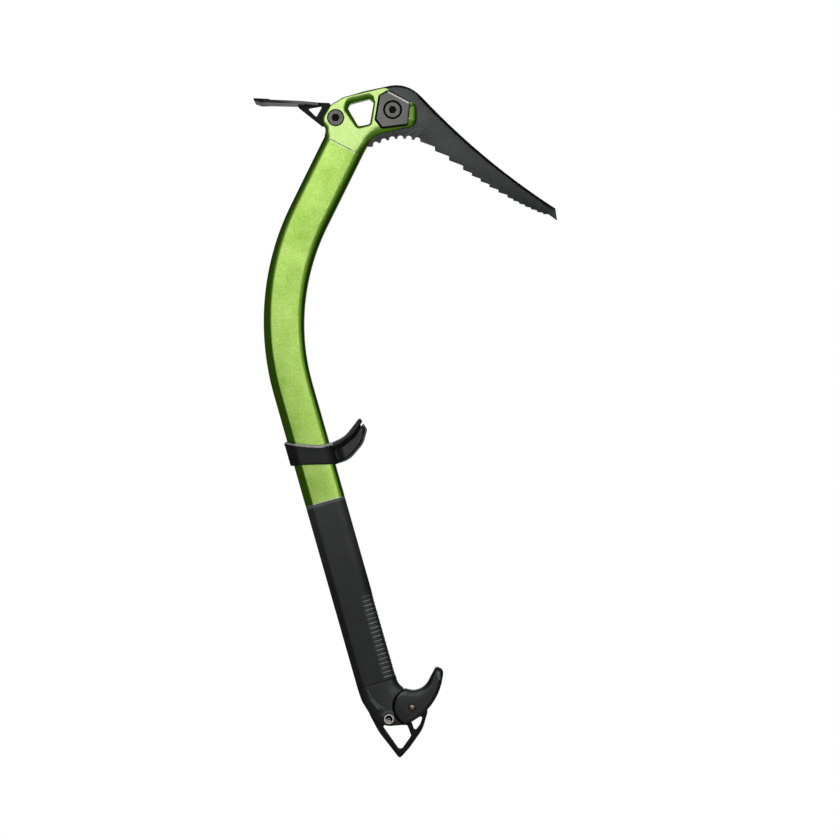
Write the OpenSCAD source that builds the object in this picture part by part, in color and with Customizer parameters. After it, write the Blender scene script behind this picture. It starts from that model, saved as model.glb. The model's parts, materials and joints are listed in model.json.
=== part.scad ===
// Ice climbing tool: bent tube shaft, forged head with a toothed pick and an adze, ribbed grip,
// sliding trigger, and an end cap that holds a spike plate and a folding hook.
// X points to the pick, Z up the tool and Y across it. The origin is the middle of the grip.

/* [Shaft] */
// Depth of the shaft section, spine to belly
shaft_depth = 30.6; // [29.2:0.2:33]
// Thickness of the shaft section, side to side
shaft_thick = 22; // [21:0.5:26]
// Wall of the shaft tube
shaft_wall = 1.8; // [1.4:0.1:2.2]
// Width of the flat facets along the spine
spine_facet = 5.7; // [4:0.1:6.5]
// Radius of the belly edges
belly_radius = 7; // [5:0.5:8]
// Lean of the lower shaft from upright, degrees
lower_lean = 15.9; // [10:0.1:22]
// Lean of the upper shaft from upright, degrees
upper_lean = 26.3; // [20:0.1:32]
// Radius of the bend on the centre line
bend_radius = 180; // [150:1:220]
// Bare straight shaft between grip and bend
lower_straight = 87; // [82:1:110]
// Straight shaft between bend and head
upper_straight = 57.4; // [45:0.1:80]

/* [Grip] */
// Length of the rubber grip
grip_length = 140; // [130:1:160]
// Wall of the rubber grip
grip_wall = 2; // [1.6:0.1:2.4]
// Number of grooves between the ribs
groove_count = 20; // [10:1:20]
// Distance from groove to groove
groove_pitch = 3.2; // [2.8:0.1:3.2]
// Width of a groove
groove_width = 1.3; // [0.8:0.1:1.8]
// Depth of a groove
groove_depth = 0.6; // [0.3:0.1:1]

/* [Head] */
// Angle between the upper shaft and the head's upright, degrees
head_pitch = 26.3; // [22:0.1:30]
// Length of the head's spigot inside the shaft
spigot_length = 32; // [20:1:40]
// Pick bolt forward of the middle of the head seam
pick_bolt_x = 36.9; // [36.9:0.1:42]
// Pick bolt above the middle of the head seam
pick_bolt_z = 27.8; // [27:0.1:30]
// Adze bolt forward of the middle of the head seam
adze_bolt_x = -5.4; // [-7:0.1:-5]
// Adze bolt above the middle of the head seam
adze_bolt_z = 21.9; // [21:0.1:23]
// Thickness of the hexagonal clamp plates
plate_thick = 5; // [4.6:0.1:6]
// Height of the clamp plates above the head's sides
plate_proud = 0.4; // [0.2:0.1:1]

/* [Pick] */
// Thickness of the pick
pick_thick = 4; // [3:0.2:5]
// Pick tip forward of the pick bolt
pick_reach = 122.4; // [112:0.2:135]
// Pick tip below the pick bolt
pick_drop = 82.4; // [76:0.2:90]
// Length of the large teeth
tooth_large = 12.6; // [10:0.2:13]
// Length of the middle teeth
tooth_mid = 7.8; // [6:0.2:8]
// Length of the fine teeth
tooth_fine = 4.9; // [3.6:0.1:5.4]
// Tooth depth as a share of its length
tooth_share = 0.2; // [0.1:0.02:0.26]
// Radius of the scallops under the head
scallop_radius = 2.2; // [1.6:0.1:2.4]
// Width of the sloped edge along the pick's back
pick_bevel = 2.6; // [1:0.1:3]

/* [Adze] */
// Adze edge behind the adze bolt
adze_reach = 60.6; // [54:0.2:70]
// Width of the adze edge
adze_width = 40; // [34:0.5:46]
// Thickness of the adze blade
adze_thick = 2.8; // [2.4:0.1:3.2]
// Thickness of the adze tang
tang_thick = 8; // [6:0.2:9]

/* [Trigger] */
// Middle of the trigger above the grip's upper end
trigger_lift = 37.7; // [37:0.1:44]
// Wall of the trigger strap
strap_wall = 2.2; // [1.6:0.1:3]
// Height of the trigger strap
strap_height = 17; // [14:0.5:18]
// Slope of the strap's upper edge across the shaft, degrees
strap_slope = 19.5; // [16:0.1:22]
// Slope of the strap's lower edge across the shaft, degrees
strap_slope_low = 14.5; // [12:0.1:18]
// Width of the trigger horn
horn_width = 15; // [12:0.5:18]
// Depth of the hollows in the horn's sides
horn_hollow = 3; // [1:0.2:4.5]

/* [Pommel] */
// Hook pin in front of the shaft's centre line
pin_forward = 20.5; // [20:0.1:22]
// Hook pin below the grip's lower end
pin_drop = 24.3; // [23.5:0.1:27]
// Angle between the lower shaft and the pommel's upright, degrees
pommel_pitch = 15.9; // [14:0.1:18]
// Thickness of the hook
hook_thick = 18; // [15:0.5:21]
// Radius of the hook's round end
hook_radius = 13.6; // [13:0.1:14]
// Open gap between the hook and the cap
hook_gap = 0.8; // [0.5:0.1:1.2]
// Fold of the hook towards the grip, degrees
hook_fold = 42; // [30:1:43]
// Thickness of the spike plate
spike_thick = 4; // [3:0.2:5]
// Length of the cap's spigot inside the shaft
cap_spigot = 30; // [20:1:40]

/* [Fasteners] */
// Diameter of the pick screw
pick_screw = 6; // [5:0.5:6]
// Diameter of the pick screw's head
pick_head = 11.8; // [10.5:0.1:12.4]
// Diameter of the adze screw
adze_screw = 5; // [4:0.5:5]
// Diameter of the adze screw's head
adze_head = 12.2; // [10.5:0.1:13]
// Diameter of the spike screw
spike_screw = 4; // [3:0.5:4]
// Outer diameter of the eyelets in the cap
eyelet_size = 7.4; // [6.8:0.1:7.6]
// Diameter of the hook pin
hook_pin_size = 4.4; // [3:0.1:5]

/* [Fits] */
// Radial gap of pins and screws in their holes
pin_gap = 0.05; // [0.03:0.01:0.1]
// Gap of plates and spigots in their seats
seat_gap = 0.1; // [0.05:0.05:0.2]
// Gap of the trigger strap on the shaft
slide_gap = 0.3; // [0.2:0.05:0.4]

/* [Hidden] */
$fn = 48;
// Angle step of rounded corners
corner_step = 9;
// Cutters reach this far past a face
over = 0.5;
// Wedge strips reach this far past an edge
edge_over = 0.2;
// Step that keeps joined faces apart
lap = 0.02;
// No sloped edge at this point of an outline
none = -1.2;
// Shares of the 45 degree facet when the section is set in
facet_share = 2 - sqrt(2);
bend_start = grip_length / 2 + lower_straight;
bend_angle = lower_lean + upper_lean;
half_depth = shaft_depth / 2;
half_thick = shaft_thick / 2;
tail_inset = grip_wall + seat_gap;
bore_inset = tail_inset + shaft_wall;
shoulder = 4;
sleeve_wall = 1;
pick_bolt = [pick_bolt_x, pick_bolt_z];
adze_bolt = [adze_bolt_x, adze_bolt_z];
seam_front = half_depth * [cos(head_pitch), -sin(head_pitch)];
neck_up = [sin(head_pitch), cos(head_pitch)];
hinge_lean = [pin_forward, -pin_drop];

// Outlines: each point is [x, z, corner radius, width of the sloped edge]

function unit(v) = v / norm(v);

function flat(path) = [for (p = path) [p[0], p[1]]];

function shifted(pts, by) = [for (p = pts) [p[0] + by[0], p[1] + by[1], p[2], p[3]]];

function arc(middle, radius, from, to, n) = [
    for (i = [0 : n])
    let (a = from + (to - from) * i / n)
    middle + radius * [cos(a), sin(a)]
];

// Shallow curve from p to q that rises by sag to the left of its chord
function bow(p, q, sag, n) = [
    for (i = [0 : n])
    let (t = i / n, side = unit([p[1] - q[1], q[0] - p[0]]))
    p + (q - p) * t + side * 4 * sag * t * (1 - t)
];

function corner(p, u, v, radius, edge) =
    let (
        half = acos(u * v) / 2,
        middle = p + unit(u + v) * radius / sin(half),
        first = p + u * radius / tan(half) - middle,
        last = p + v * radius / tan(half) - middle,
        from = atan2(first[1], first[0]),
        swing = (atan2(last[1], last[0]) - from + 540) % 360 - 180,
        n = max(1, ceil(abs(swing) / corner_step))
    )
    [for (k = [0 : n])
        let (a = from + swing * k / n)
        [middle[0] + radius * cos(a), middle[1] + radius * sin(a), edge]];

function rounded(pts) = [
    for (i = [0 : len(pts) - 1])
    let (
        p = pts[i],
        at = [p[0], p[1]],
        a = pts[(i + len(pts) - 1) % len(pts)],
        b = pts[(i + 1) % len(pts)],
        u = unit([a[0], a[1]] - at),
        v = unit([b[0], b[1]] - at)
    )
    each p[2] > 0 ? corner(at, u, v, p[2], p[3]) : [[p[0], p[1], p[3]]]
];

// Inward direction at point i of a path that runs with its solid on the left
function inward(path, i, closed) =
    let (
        n = len(path),
        a = closed ? path[(i + n - 1) % n] : path[max(i - 1, 0)],
        p = path[i],
        b = closed ? path[(i + 1) % n] : path[min(i + 1, n - 1)],
        d1 = i == 0 && !closed ? unit([b[0] - p[0], b[1] - p[1]]) : unit([p[0] - a[0], p[1] - a[1]]),
        d2 = i == n - 1 && !closed ? d1 : unit([b[0] - p[0], b[1] - p[1]]),
        n1 = [-d1[1], d1[0]],
        n2 = [-d2[1], d2[0]]
    )
    (n1 + n2) / (1 + n1 * n2);

// Wedge strip that slopes the edge of a slab along a path of [x, z, width], on its near face
module edge_strip(path, half, slope, closed) {
    n = len(path);
    pts = [
        for (i = [0 : n - 1])
        let (p = path[i], m = inward(path, i, closed), w = p[2])
        each [
            [p[0] - m[0] * edge_over, -half + (w + edge_over) * slope, p[1] - m[1] * edge_over],
            [p[0] + m[0] * (w + edge_over), -half - edge_over * slope, p[1] + m[1] * (w + edge_over)],
            [p[0] - m[0] * edge_over, -half - edge_over * slope, p[1] - m[1] * edge_over]
        ]
    ];
    sides = [
        for (i = [0 : n - (closed ? 1 : 2)], j = [0 : 2])
        let (a = 3 * i, b = 3 * ((i + 1) % n), k = (j + 1) % 3)
        each [[b + k, a + k, a + j], [b + j, b + k, a + j]]
    ];
    ends = closed ? [] : [[0, 1, 2], [3 * n - 1, 3 * n - 2, 3 * n - 3]];
    polyhedron(pts, concat(sides, ends));
}

module both_edges(path, half, slope = 1, closed = true) {
    edge_strip(path, half, slope, closed);
    mirror([0, 1, 0]) edge_strip(path, half, slope, closed);
}

// Slab across the tool, drawn in X and Z
module slab(thick) rotate([90, 0, 0]) linear_extrude(thick, center = true) children();

// Pin across the tool: its Z points to the near side
module across(at) translate([at[0], 0, at[1]]) rotate([90, 0, 0]) children();

// Section of the shaft, set in from its outside
function section(inset) =
    let (
        d = half_depth - inset,
        t = half_thick - inset,
        f = spine_facet - inset * facet_share,
        r = belly_radius - inset
    )
    concat(
        [[-d + f, t], [-d, t - f], [-d, f - t], [-d + f, -t]],
        arc([d - r, r - t], r, -90, 0, 8),
        arc([d - r, t - r], r, 0, 90, 8)
    );

module ring(outer, inner) difference() {
    polygon(section(outer));
    polygon(section(inner));
}

// Places on the tool

module on_grip() rotate([0, -lower_lean, 0]) children();

module on_upper() on_grip() translate([bend_radius, 0, bend_start]) rotate([0, bend_angle, 0])
    translate([-bend_radius, 0, upper_straight]) children();

module on_head() on_upper() rotate([0, -head_pitch, 0]) children();

module on_trigger() on_grip() translate([0, 0, grip_length / 2 + trigger_lift]) children();

module on_cap() on_grip() translate([0, 0, -grip_length / 2]) children();

module on_pommel() on_cap() translate([pin_forward, 0, -pin_drop]) rotate([0, pommel_pitch, 0]) children();

// Shaft and grip

// Lengths of the shaft run into each other, so that they stay one solid at any size
module shaft() color("yellowgreen") {
    on_upper() translate([0, 0, -upper_straight - over]) linear_extrude(upper_straight + over)
        ring(-lap, shaft_wall + lap);
    on_grip() translate([bend_radius, 0, bend_start]) rotate([90, 0, 180]) rotate_extrude(angle = bend_angle)
        translate([bend_radius, 0]) mirror([1, 0]) ring(0, shaft_wall);
    on_grip() translate([0, 0, grip_length / 2 + shoulder - over])
        linear_extrude(lower_straight - shoulder + 2 * over) ring(-lap, shaft_wall + lap);
    on_grip() translate([0, 0, grip_length / 2]) linear_extrude(shoulder) ring(0, bore_inset + lap);
    difference() {
        on_cap() linear_extrude(grip_length + over) ring(tail_inset, bore_inset);
        cap_pin_hole();
    }
}

cap_pin_rise = cap_spigot / 2;
cap_pin_radius = 1.5;

module cap_pin_hole() on_cap() across([0, cap_pin_rise])
    cylinder(h = 2 * shaft_thick, r = cap_pin_radius + pin_gap, center = true);

module cap_pin() color("silver") on_cap() across([0, cap_pin_rise])
    cylinder(h = shaft_thick - 2 * tail_inset - 2 * seat_gap, r = cap_pin_radius, center = true);

groove_from = 6;

module grip_sleeve() color("dimgray") difference() {
    on_cap() linear_extrude(grip_length) ring(seat_gap, grip_wall);
    for (i = [0 : groove_count - 1]) on_cap() translate([0, 0, 4 + i * groove_pitch])
        linear_extrude(groove_width) intersection() {
            ring(-over, seat_gap + groove_depth);
            translate([groove_from, -shaft_thick]) square(2 * shaft_thick);
        }
}

// Head

eye_points = [[11.4, 14.8, 2, 1.4], [20, 16.4, 2, 1.2], [23, 33, 2, 1.2], [19.5, 36.5, 2, 1.6],
    [4.8, 32.9, 2, 1.8], [3, 29, 2, 2.2]];
neck_front = seam_front + 17.2 * neck_up;
neck_rear = 5 * neck_up - seam_front + [-0.9, 0.6];
nose_low = pick_bolt + [17.6, -11.9];
nose_high = pick_bolt + [17.5, 3.3];
brow = pick_bolt + [-6.1, 16.7];
top_rear = adze_bolt + [6.7, 15.7];
rear_high = adze_bolt + [-3.5, 9];
lug_rear = adze_bolt + [-10.7, -1];
neck_edge = spine_facet - 0.4;
seam_low = 3;

head_points = [
    seam_front - seam_low * neck_up,
    neck_front, nose_low, nose_high, brow, top_rear, rear_high, lug_rear, neck_rear,
    -seam_front - seam_low * neck_up
];
head_radii = [0, 18, 6, 2.5, 4, 12, 7, 7, 5, 0];
head_edges = [neck_edge, 3.6, 3.6, none, none, 0.6, 0.6, 1.4, 3.6, neck_edge];
head_path = rounded([for (i = [0 : 9]) [head_points[i][0], head_points[i][1], head_radii[i], head_edges[i]]]);
eye_path = rounded(eye_points);
eye_rim = [for (i = [len(eye_path) - 1 : -1 : 0]) eye_path[i]];

plate_points = shifted([[-3.4, 13.9, 1, 0.4], [-9.2, 10.5, 1, 0.4], [-12.1, -7, 1, 0.4], [-7.5, -12.9, 1, 0.4],
    [11, -10.5, 1, 0.4], [12.8, 5.3, 1, 0.4]], pick_bolt);
plate_path = rounded(plate_points);
plate_floor = half_thick + plate_proud - plate_thick;

sleeve_radius = pick_screw / 2 + sleeve_wall;
adze_sleeve = adze_screw / 2 + sleeve_wall;
adze_sink = 1.5;

module head() color("yellowgreen") {
    difference() {
        on_head() difference() {
            slab(shaft_thick) polygon(flat(head_path));
            both_edges(head_path, half_thick, closed = false);
            slab(2 * shaft_thick) polygon(flat(eye_path));
            both_edges(eye_rim, half_thick);
            slab(pick_thick + 2 * seat_gap) offset(delta = 3 * seat_gap) polygon(pick_body);
            slab(tang_thick + 2 * seat_gap) {
                offset(delta = 3 * seat_gap) polygon(flat(adze_path));
                translate(adze_bolt) circle(tang_round + 3 * seat_gap);
            }
            for (side = [-1, 1]) translate([0, side * (plate_floor + shaft_thick / 2), 0])
                slab(shaft_thick) offset(delta = seat_gap) polygon(flat(plate_path));
            across(pick_bolt) cylinder(h = 2 * shaft_thick, r = sleeve_radius + pin_gap, center = true);
            across(adze_bolt) cylinder(h = 2 * shaft_thick, r = adze_sleeve + pin_gap, center = true);
            for (side = [0, 180]) across(adze_bolt) rotate([side, 0, 0])
                translate([0, 0, half_thick - adze_sink])
                cylinder(h = shaft_thick, r = adze_head / 2 + 2 * seat_gap);
        }
        on_upper() translate([-shaft_depth, -shaft_thick, -shaft_depth])
            cube([2 * shaft_depth, 2 * shaft_thick, shaft_depth]);
    }
    on_upper() translate([0, 0, -spigot_length]) linear_extrude(spigot_length + over)
        polygon(section(shaft_wall + seat_gap));
}

// Pick

crown = pick_bolt + [9.5, 20.5];
crown_end = pick_bolt + [21.8, 9.4];
tip = pick_bolt + [pick_reach, -pick_drop];
tip_high = tip + [-1.2, 8.9];
tip_low = tip + [-6.5, 4.8];
heel = pick_bolt + [20.9, -23.7];
scallop_end = pick_bolt + [-16, -27.6];
teeth_end = tip_low + [-0.5, -1.4];
tooth_run = norm(heel - teeth_end);
tooth_count = floor((tooth_run - 3 * tooth_large - 5 * tooth_mid) / tooth_fine);

// Distances of the tooth tips from the heel
tooth_places = concat(
    [for (i = [1 : 3]) i * tooth_large],
    [for (i = [1 : 5]) 3 * tooth_large + i * tooth_mid],
    [for (i = [1 : tooth_count]) 3 * tooth_large + 5 * tooth_mid + i * tooth_fine]
);
tooth_pitches = [for (i = [0 : len(tooth_places) - 1]) tooth_places[i] - (i == 0 ? 0 : tooth_places[i - 1])];
under_sag = 3.3;
tooth_rake = 0.14;

// Line of the tooth tips, fuller towards the pick's tip
function under(s) = let (t = s / tooth_run, along = unit(teeth_end - heel))
    heel + along * s + [along[1], -along[0]] * 4 * under_sag * t * (1 - t) * (0.3 + 1.2 * t);

function tooth(i) = let (along = unit(under(tooth_places[i]) - under(tooth_places[i] - 1)), p = tooth_pitches[i],
    at = under(tooth_places[i]))
    [at, at + [-along[1], along[0]] * p * tooth_share - along * p * tooth_rake];

pick_back = bow(crown_end, tip_high, -3.9, 14);
pick_rear = top_rear + [-0.8, 0.6];
pick_crown = flat(rounded([[pick_rear[0], pick_rear[1], 0, 0], [crown[0], crown[1], 24, 0],
    [crown_end[0], crown_end[1], 0, 0]]));
pick_tang = [pick_bolt + [-22.4, -27.2], [15.5, 9], eye_points[1] + [1.4, -0.7, 0, 0],
    eye_points[2] + [1.4, 0.7, 0, 0], eye_points[3] + [1.1, 1.5, 0, 0], eye_points[4] + [-1.6, 1.1, 0, 0]];
pick_heel = bow(heel, scallop_end, -4, 12);
scallop_in = [0.6, 0.2];

// Outline without teeth, also the shape of the head's slot
pick_body = flat(concat([tip_low, tip], [for (i = [14 : -1 : 0]) pick_back[i]],
    [for (i = [len(pick_crown) - 2 : -1 : 0]) pick_crown[i]],
    [for (i = [5 : -1 : 0]) pick_tang[i]], [for (i = [12 : -1 : 0]) pick_heel[i]],
    [for (i = [1 : 8]) under(tooth_run * i / 9)]));
pick_outline = flat(concat([tip_low, tip], [for (i = [14 : -1 : 0]) pick_back[i]],
    [for (i = [len(pick_crown) - 2 : -1 : 0]) pick_crown[i]],
    [for (i = [5 : -1 : 0]) pick_tang[i]], [for (i = [12 : -1 : 0]) pick_heel[i]],
    [for (i = [0 : len(tooth_places) - 1]) each [tooth(i)[1], tooth(i)[0]]]));
bevel_slope = 0.42;
pick_rim = concat([[tip_high[0] + 0.6, tip_high[1] - 4, none]],
    [for (i = [14 : -1 : 0]) [pick_back[i][0], pick_back[i][1], pick_bevel * (i == 14 ? 0.5 : 1)]],
    [for (i = [len(pick_crown) - 2 : -1 : 1]) [pick_crown[i][0], pick_crown[i][1], pick_bevel * 0.6]],
    [[pick_rear[0], pick_rear[1], none]]);

module pick() color("slategray") on_head() difference() {
    slab(pick_thick) polygon(pick_outline);
    slab(2 * pick_thick) for (i = [0 : 2 : 10]) translate(pick_heel[i + 1] + scallop_in) circle(scallop_radius);
    both_edges(pick_rim, pick_thick / 2, bevel_slope, false);
    across(pick_bolt) cylinder(h = 2 * pick_thick, r = sleeve_radius + pin_gap, center = true);
}

// Clamp plates and the pick screw

head_height = 3.2;
head_rest = half_thick + plate_proud - head_height - 0.2;

module clamp_plate() difference() {
    translate([0, -plate_floor - plate_thick / 2, 0]) slab(plate_thick) polygon(flat(plate_path));
    edge_strip(plate_path, half_thick + plate_proud, 1, true);
    across(pick_bolt) cylinder(h = shaft_thick, r = sleeve_radius + pin_gap);
    across(pick_bolt) translate([0, 0, head_rest]) cylinder(h = shaft_thick, r = pick_head / 2 + 0.9);
}

module pick_plate_near() color("gray") on_head() clamp_plate();

module pick_plate_far() color("gray") on_head() mirror([0, 1, 0]) clamp_plate();

// Low screw head with a hexagon socket, standing on Z 0
module screw_head(size, height, socket) difference() {
    union() {
        cylinder(h = height - 0.7, d = size);
        translate([0, 0, height - 0.7]) cylinder(h = 0.7, d1 = size, d2 = size - 1.4);
    }
    translate([0, 0, height * 0.3]) cylinder(h = height, d = socket / cos(30), $fn = 6);
}

// Screw shank and the sleeve of its nut between two heads that stand at rest from the middle
module screw(size, height, socket, shank, rest) {
    translate([0, 0, rest]) screw_head(size, height, socket);
    translate([0, 0, -rest + 1]) cylinder(h = 2 * rest - 0.5, d = shank);
}

module barrel_nut(size, height, socket, shank, rest) rotate([180, 0, 0]) difference() {
    union() {
        translate([0, 0, rest]) screw_head(size, height, socket);
        translate([0, 0, -rest + 0.5]) cylinder(h = 2 * rest, r = shank / 2 + sleeve_wall);
    }
    translate([0, 0, -2 * rest]) cylinder(h = 3 * rest - 0.5, r = shank / 2 + pin_gap);
}

pick_socket = 5;
adze_socket = 4;
adze_height = 2.4;
adze_rest = half_thick - adze_sink;

module pick_bolt() color("gray") on_head() across(pick_bolt)
    screw(pick_head, head_height, pick_socket, pick_screw, head_rest);

module pick_nut() color("gray") on_head() across(pick_bolt)
    barrel_nut(pick_head, head_height, pick_socket, pick_screw, head_rest);

module adze_bolt() color("gray") on_head() across(adze_bolt)
    screw(adze_head, adze_height, adze_socket, adze_screw, adze_rest);

module adze_nut() color("gray") on_head() across(adze_bolt)
    barrel_nut(adze_head, adze_height, adze_socket, adze_screw, adze_rest);

// Adze

tang_round = 7;
blade_slope = 2.5;
blade_rear = adze_bolt + [-3, 10.8];
blade_length = adze_reach - 3;
brace_low = adze_bolt + [-10.2, -6.5];
adze_path = rounded([
    [blade_rear[0] - 1, blade_rear[1] - 1.2, 0.5, 0.5],
    [blade_rear[0] - 30, blade_rear[1], 0, 0.5],
    [blade_rear[0] - 30, blade_rear[1] - 1.7, 0, 0.5],
    [brace_low[0] - 17.4, brace_low[1] + 13.7, 3, 0.5],
    [brace_low[0], brace_low[1], 1.5, 0.5],
    [adze_bolt[0], adze_bolt[1] - tang_round + 1, 0, 0.5],
    [adze_bolt[0] + 2, adze_bolt[1], 0, 0.5],
    [adze_bolt[0] - 0.5, adze_bolt[1] + tang_round - 1, 0, 0.5]
]);
brace_hole = rounded(shifted([[-21.1, 6.8, 0.8, 0], [-14.5, 0.2, 0.8, 0], [-9.9, 8.6, 0.8, 0]], adze_bolt));
blade_start = -1.4;
blade_profile = [[blade_start, 0], [-blade_length, 0], [-blade_length + 0.9, -1],
    [-blade_length + 5.6, -adze_thick - 1], [-blade_length + 12, -adze_thick], [blade_start, -adze_thick]];
blade_root = tang_thick / 2 - 0.3;
blade_plan = rounded([[1, blade_root, 0, 0], [-9, blade_root, 6, 0], [-22, adze_width * 0.36, 14, 0],
    [-blade_length + 8, adze_width * 0.44, 10, 0], [-blade_length, adze_width / 2, 1.5, 0],
    [-blade_length, -adze_width / 2, 1.5, 0], [-blade_length + 8, -adze_width * 0.44, 10, 0],
    [-22, -adze_width * 0.36, 14, 0], [-9, -blade_root, 6, 0], [1, -blade_root, 0, 0]]);

module adze() color("dimgray") on_head() difference() {
    union() {
        slab(tang_thick) {
            polygon(flat(adze_path));
            translate(adze_bolt) circle(tang_round);
        }
        translate([blade_rear[0], 0, blade_rear[1]]) rotate([0, blade_slope, 0]) intersection() {
            slab(2 * adze_width) polygon(blade_profile);
            translate([0, 0, -2 * adze_width]) linear_extrude(4 * adze_width) polygon(flat(blade_plan));
        }
    }
    slab(2 * tang_thick) polygon(flat(brace_hole));
    across(adze_bolt) cylinder(h = 2 * tang_thick, r = adze_sleeve + pin_gap, center = true);
}

// Trigger

strap_out = half_depth + slide_gap + strap_wall;
strap_high = 0.45 * strap_height;
strap_low = strap_high - strap_height;
strap_side = [for (x = [-shaft_depth, shaft_depth]) [x, strap_high - x * tan(strap_slope)]];
strap_foot = [for (x = [shaft_depth, -shaft_depth]) [x, strap_low - x * tan(strap_slope_low)]];
strip_root = half_depth + slide_gap + 0.6;
strip_points = [[strip_root, -0.6, 0, 0.6], [23, 0.6, 14, 0.6], [34.2, 5, 14, 0.6], [42.9, 12.1, 1, 0.6],
    [42, 15.7, 1.2, 0.6], [35.6, 11, 20, 0.6], [27.3, 5, 20, 0.6], [strip_root, 4.7, 0, 0.6]];
web_points = [[strap_out + 0.02, -3, 0, 0], [23, -2, 0, 0], [34.4, 2, 0, 0], [39.6, 6.2, 0, 0], [38.2, 7.9, 0, 0],
    [33.6, 4.4, 14, 0], [23, 0.2, 14, 0], [strap_out + 0.02, -0.8, 0, 0]];
horn_points = [[strap_out + 0.02, -13, 0, 0.8], [26, -12.6, 16, 1.2], [39, -4, 16, 1.2], [44.8, 5.6, 5, 1.2],
    [43, 11, 1.4, 0.6], [34.6, 3.6, 14, 0.6], [24, -0.6, 14, 0.6], [strap_out + 0.02, -1.6, 0, 0.6]];
horn_path = rounded(horn_points);
hollow_path = rounded([[strap_out + 3, -10.2, 1.5, 0], [26.6, -9.6, 12, 0], [37, -2.8, 10, 0], [41, 4.6, 1.2, 0],
    [34.6, 0.2, 10, 0], [24, -3.4, 10, 0], [strap_out + 3, -4, 1.5, 0]]);

module trigger_strap() color("dimgray") on_trigger() {
    intersection() {
        translate([0, 0, -shaft_depth]) linear_extrude(2 * shaft_depth)
            ring(-slide_gap - strap_wall, -slide_gap);
        slab(3 * shaft_thick) polygon(concat(strap_side, strap_foot));
    }
    slab(horn_width) polygon(flat(rounded(strip_points)));
}

module trigger_horn() color("dimgray") on_trigger() {
    difference() {
        slab(horn_width) polygon(flat(horn_path));
        both_edges(horn_path, horn_width / 2);
        for (side = [-1, 1]) translate([0, side * (horn_width - horn_hollow), 0])
            slab(horn_width) polygon(flat(hollow_path));
    }
    slab(horn_width - 2 * horn_hollow - 1) polygon(flat(rounded(web_points)));
}

// End cap

seat_radius = hook_radius + hook_gap;
seat_low = 228;
seat_high = 100;
cap_edge = spine_facet;
cap_seat = [for (p = arc(hinge_lean, seat_radius, seat_low, seat_high, 20)) [p[0], p[1], 0, 0.5]];
cap_path = rounded(concat(
    [[-half_depth, 3, 0, cap_edge], [-half_depth + 0.6, -10, 12, cap_edge], [-10.3, -25.5, 12, 4],
        [-1.5, -34.4, 12, 3], [8, -36, 4, 2]],
    cap_seat,
    [[half_depth + 2.4, -8.6, 2, 1.2], [half_depth, -1, 0, 4], [half_depth, 3, 0, 4]]));
eyelet_at = [-17.2, -9.4];
eyelet_deep = 6;
eyelet_bore = spike_screw / 2 + 0.7;

module end_cap() color("dimgray") {
    difference() {
        on_cap() difference() {
            slab(shaft_thick) polygon(flat(cap_path));
            both_edges(cap_path, half_thick, closed = false);
            translate([-shaft_depth, -shaft_thick, 0]) cube([2 * shaft_depth, 2 * shaft_thick, shaft_depth]);
        }
        on_pommel() {
            slab(spike_thick + 2 * seat_gap) offset(delta = 3 * seat_gap) polygon(flat(spike_path));
            across(eyelet_at) cylinder(h = 2 * shaft_thick, r = spike_screw / 2 + pin_gap, center = true);
            for (side = [0, 180]) across(eyelet_at) rotate([side, 0, 0])
                translate([0, 0, half_thick - eyelet_deep]) cylinder(h = shaft_thick, r = eyelet_size / 2 + pin_gap);
        }
    }
    difference() {
        on_cap() translate([0, 0, -over]) linear_extrude(cap_spigot + over) polygon(section(bore_inset + seat_gap));
        cap_pin_hole();
    }
}

// Spike

ear_radius = 8;
ear_from = 4;
ear_to = 150;
spike_path = rounded(concat(
    [[-9.3, -39, 1.6, 1.2], [-2.2, -31.2, 20, 0.5], [7.9, -17, 24, 0.5], [11.6, -4, 4, 0.3], [11, -1.7, 0.8, 0.3]],
    [for (p = arc([0, 0], ear_radius, ear_from, ear_to, 16)) [p[0], p[1], 0, 0.3]],
    [[-20, 3.4, 3, 0.3], [-29.4, -1.4, 3, 0.3], [-32, -5.6, 1, 0.4], [-25.2, -18.6, 40, 0.5]]));
large_eye = rounded([[-22.4, -14, 1.2, 0.4], [-8.8, -33.4, 2.5, 0.4], [-0.6, -22, 2.5, 0.4], [-3.6, -14, 1.2, 0.4]]);
small_eye = rounded([[-0.7, -10.8, 1, 0.3], [2, -18.8, 1.4, 0.3], [6.2, -13, 8, 0.3], [7.9, -6.8, 1, 0.3]]);

module spike() color("dimgray") on_pommel() difference() {
    slab(spike_thick) difference() {
        polygon(flat(spike_path));
        polygon(flat(large_eye));
        polygon(flat(small_eye));
    }
    both_edges(spike_path, spike_thick / 2);
    across([0, 0]) cylinder(h = 2 * spike_thick, d = hook_pin_size + 2 * pin_gap, center = true);
    across(eyelet_at) cylinder(h = 2 * spike_thick, r = spike_screw / 2 + pin_gap, center = true);
}

eyelet_proud = 0.3;

module spike_bushes() color("silver") on_pommel() for (side = [0, 180]) across(eyelet_at) rotate([side, 0, 0])
    translate([0, 0, half_thick - eyelet_deep]) difference() {
        cylinder(h = eyelet_deep + eyelet_proud, d = eyelet_size);
        translate([0, 0, -over]) cylinder(h = 2 * eyelet_deep, r = eyelet_bore + pin_gap);
        translate([0, 0, eyelet_deep + eyelet_proud - 0.6])
            cylinder(h = 1.2, r1 = eyelet_bore, r2 = eyelet_bore + 1.2);
    }

spike_rest = half_thick - eyelet_deep;

module spike_bolt() color("goldenrod") on_pommel() across(eyelet_at) {
    translate([0, 0, spike_rest]) screw_head(2 * eyelet_bore, eyelet_deep - 1, spike_screw * 0.6);
    translate([0, 0, -spike_rest - 3]) cylinder(h = 2 * spike_rest + 3.5, d = spike_screw);
}

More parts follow.
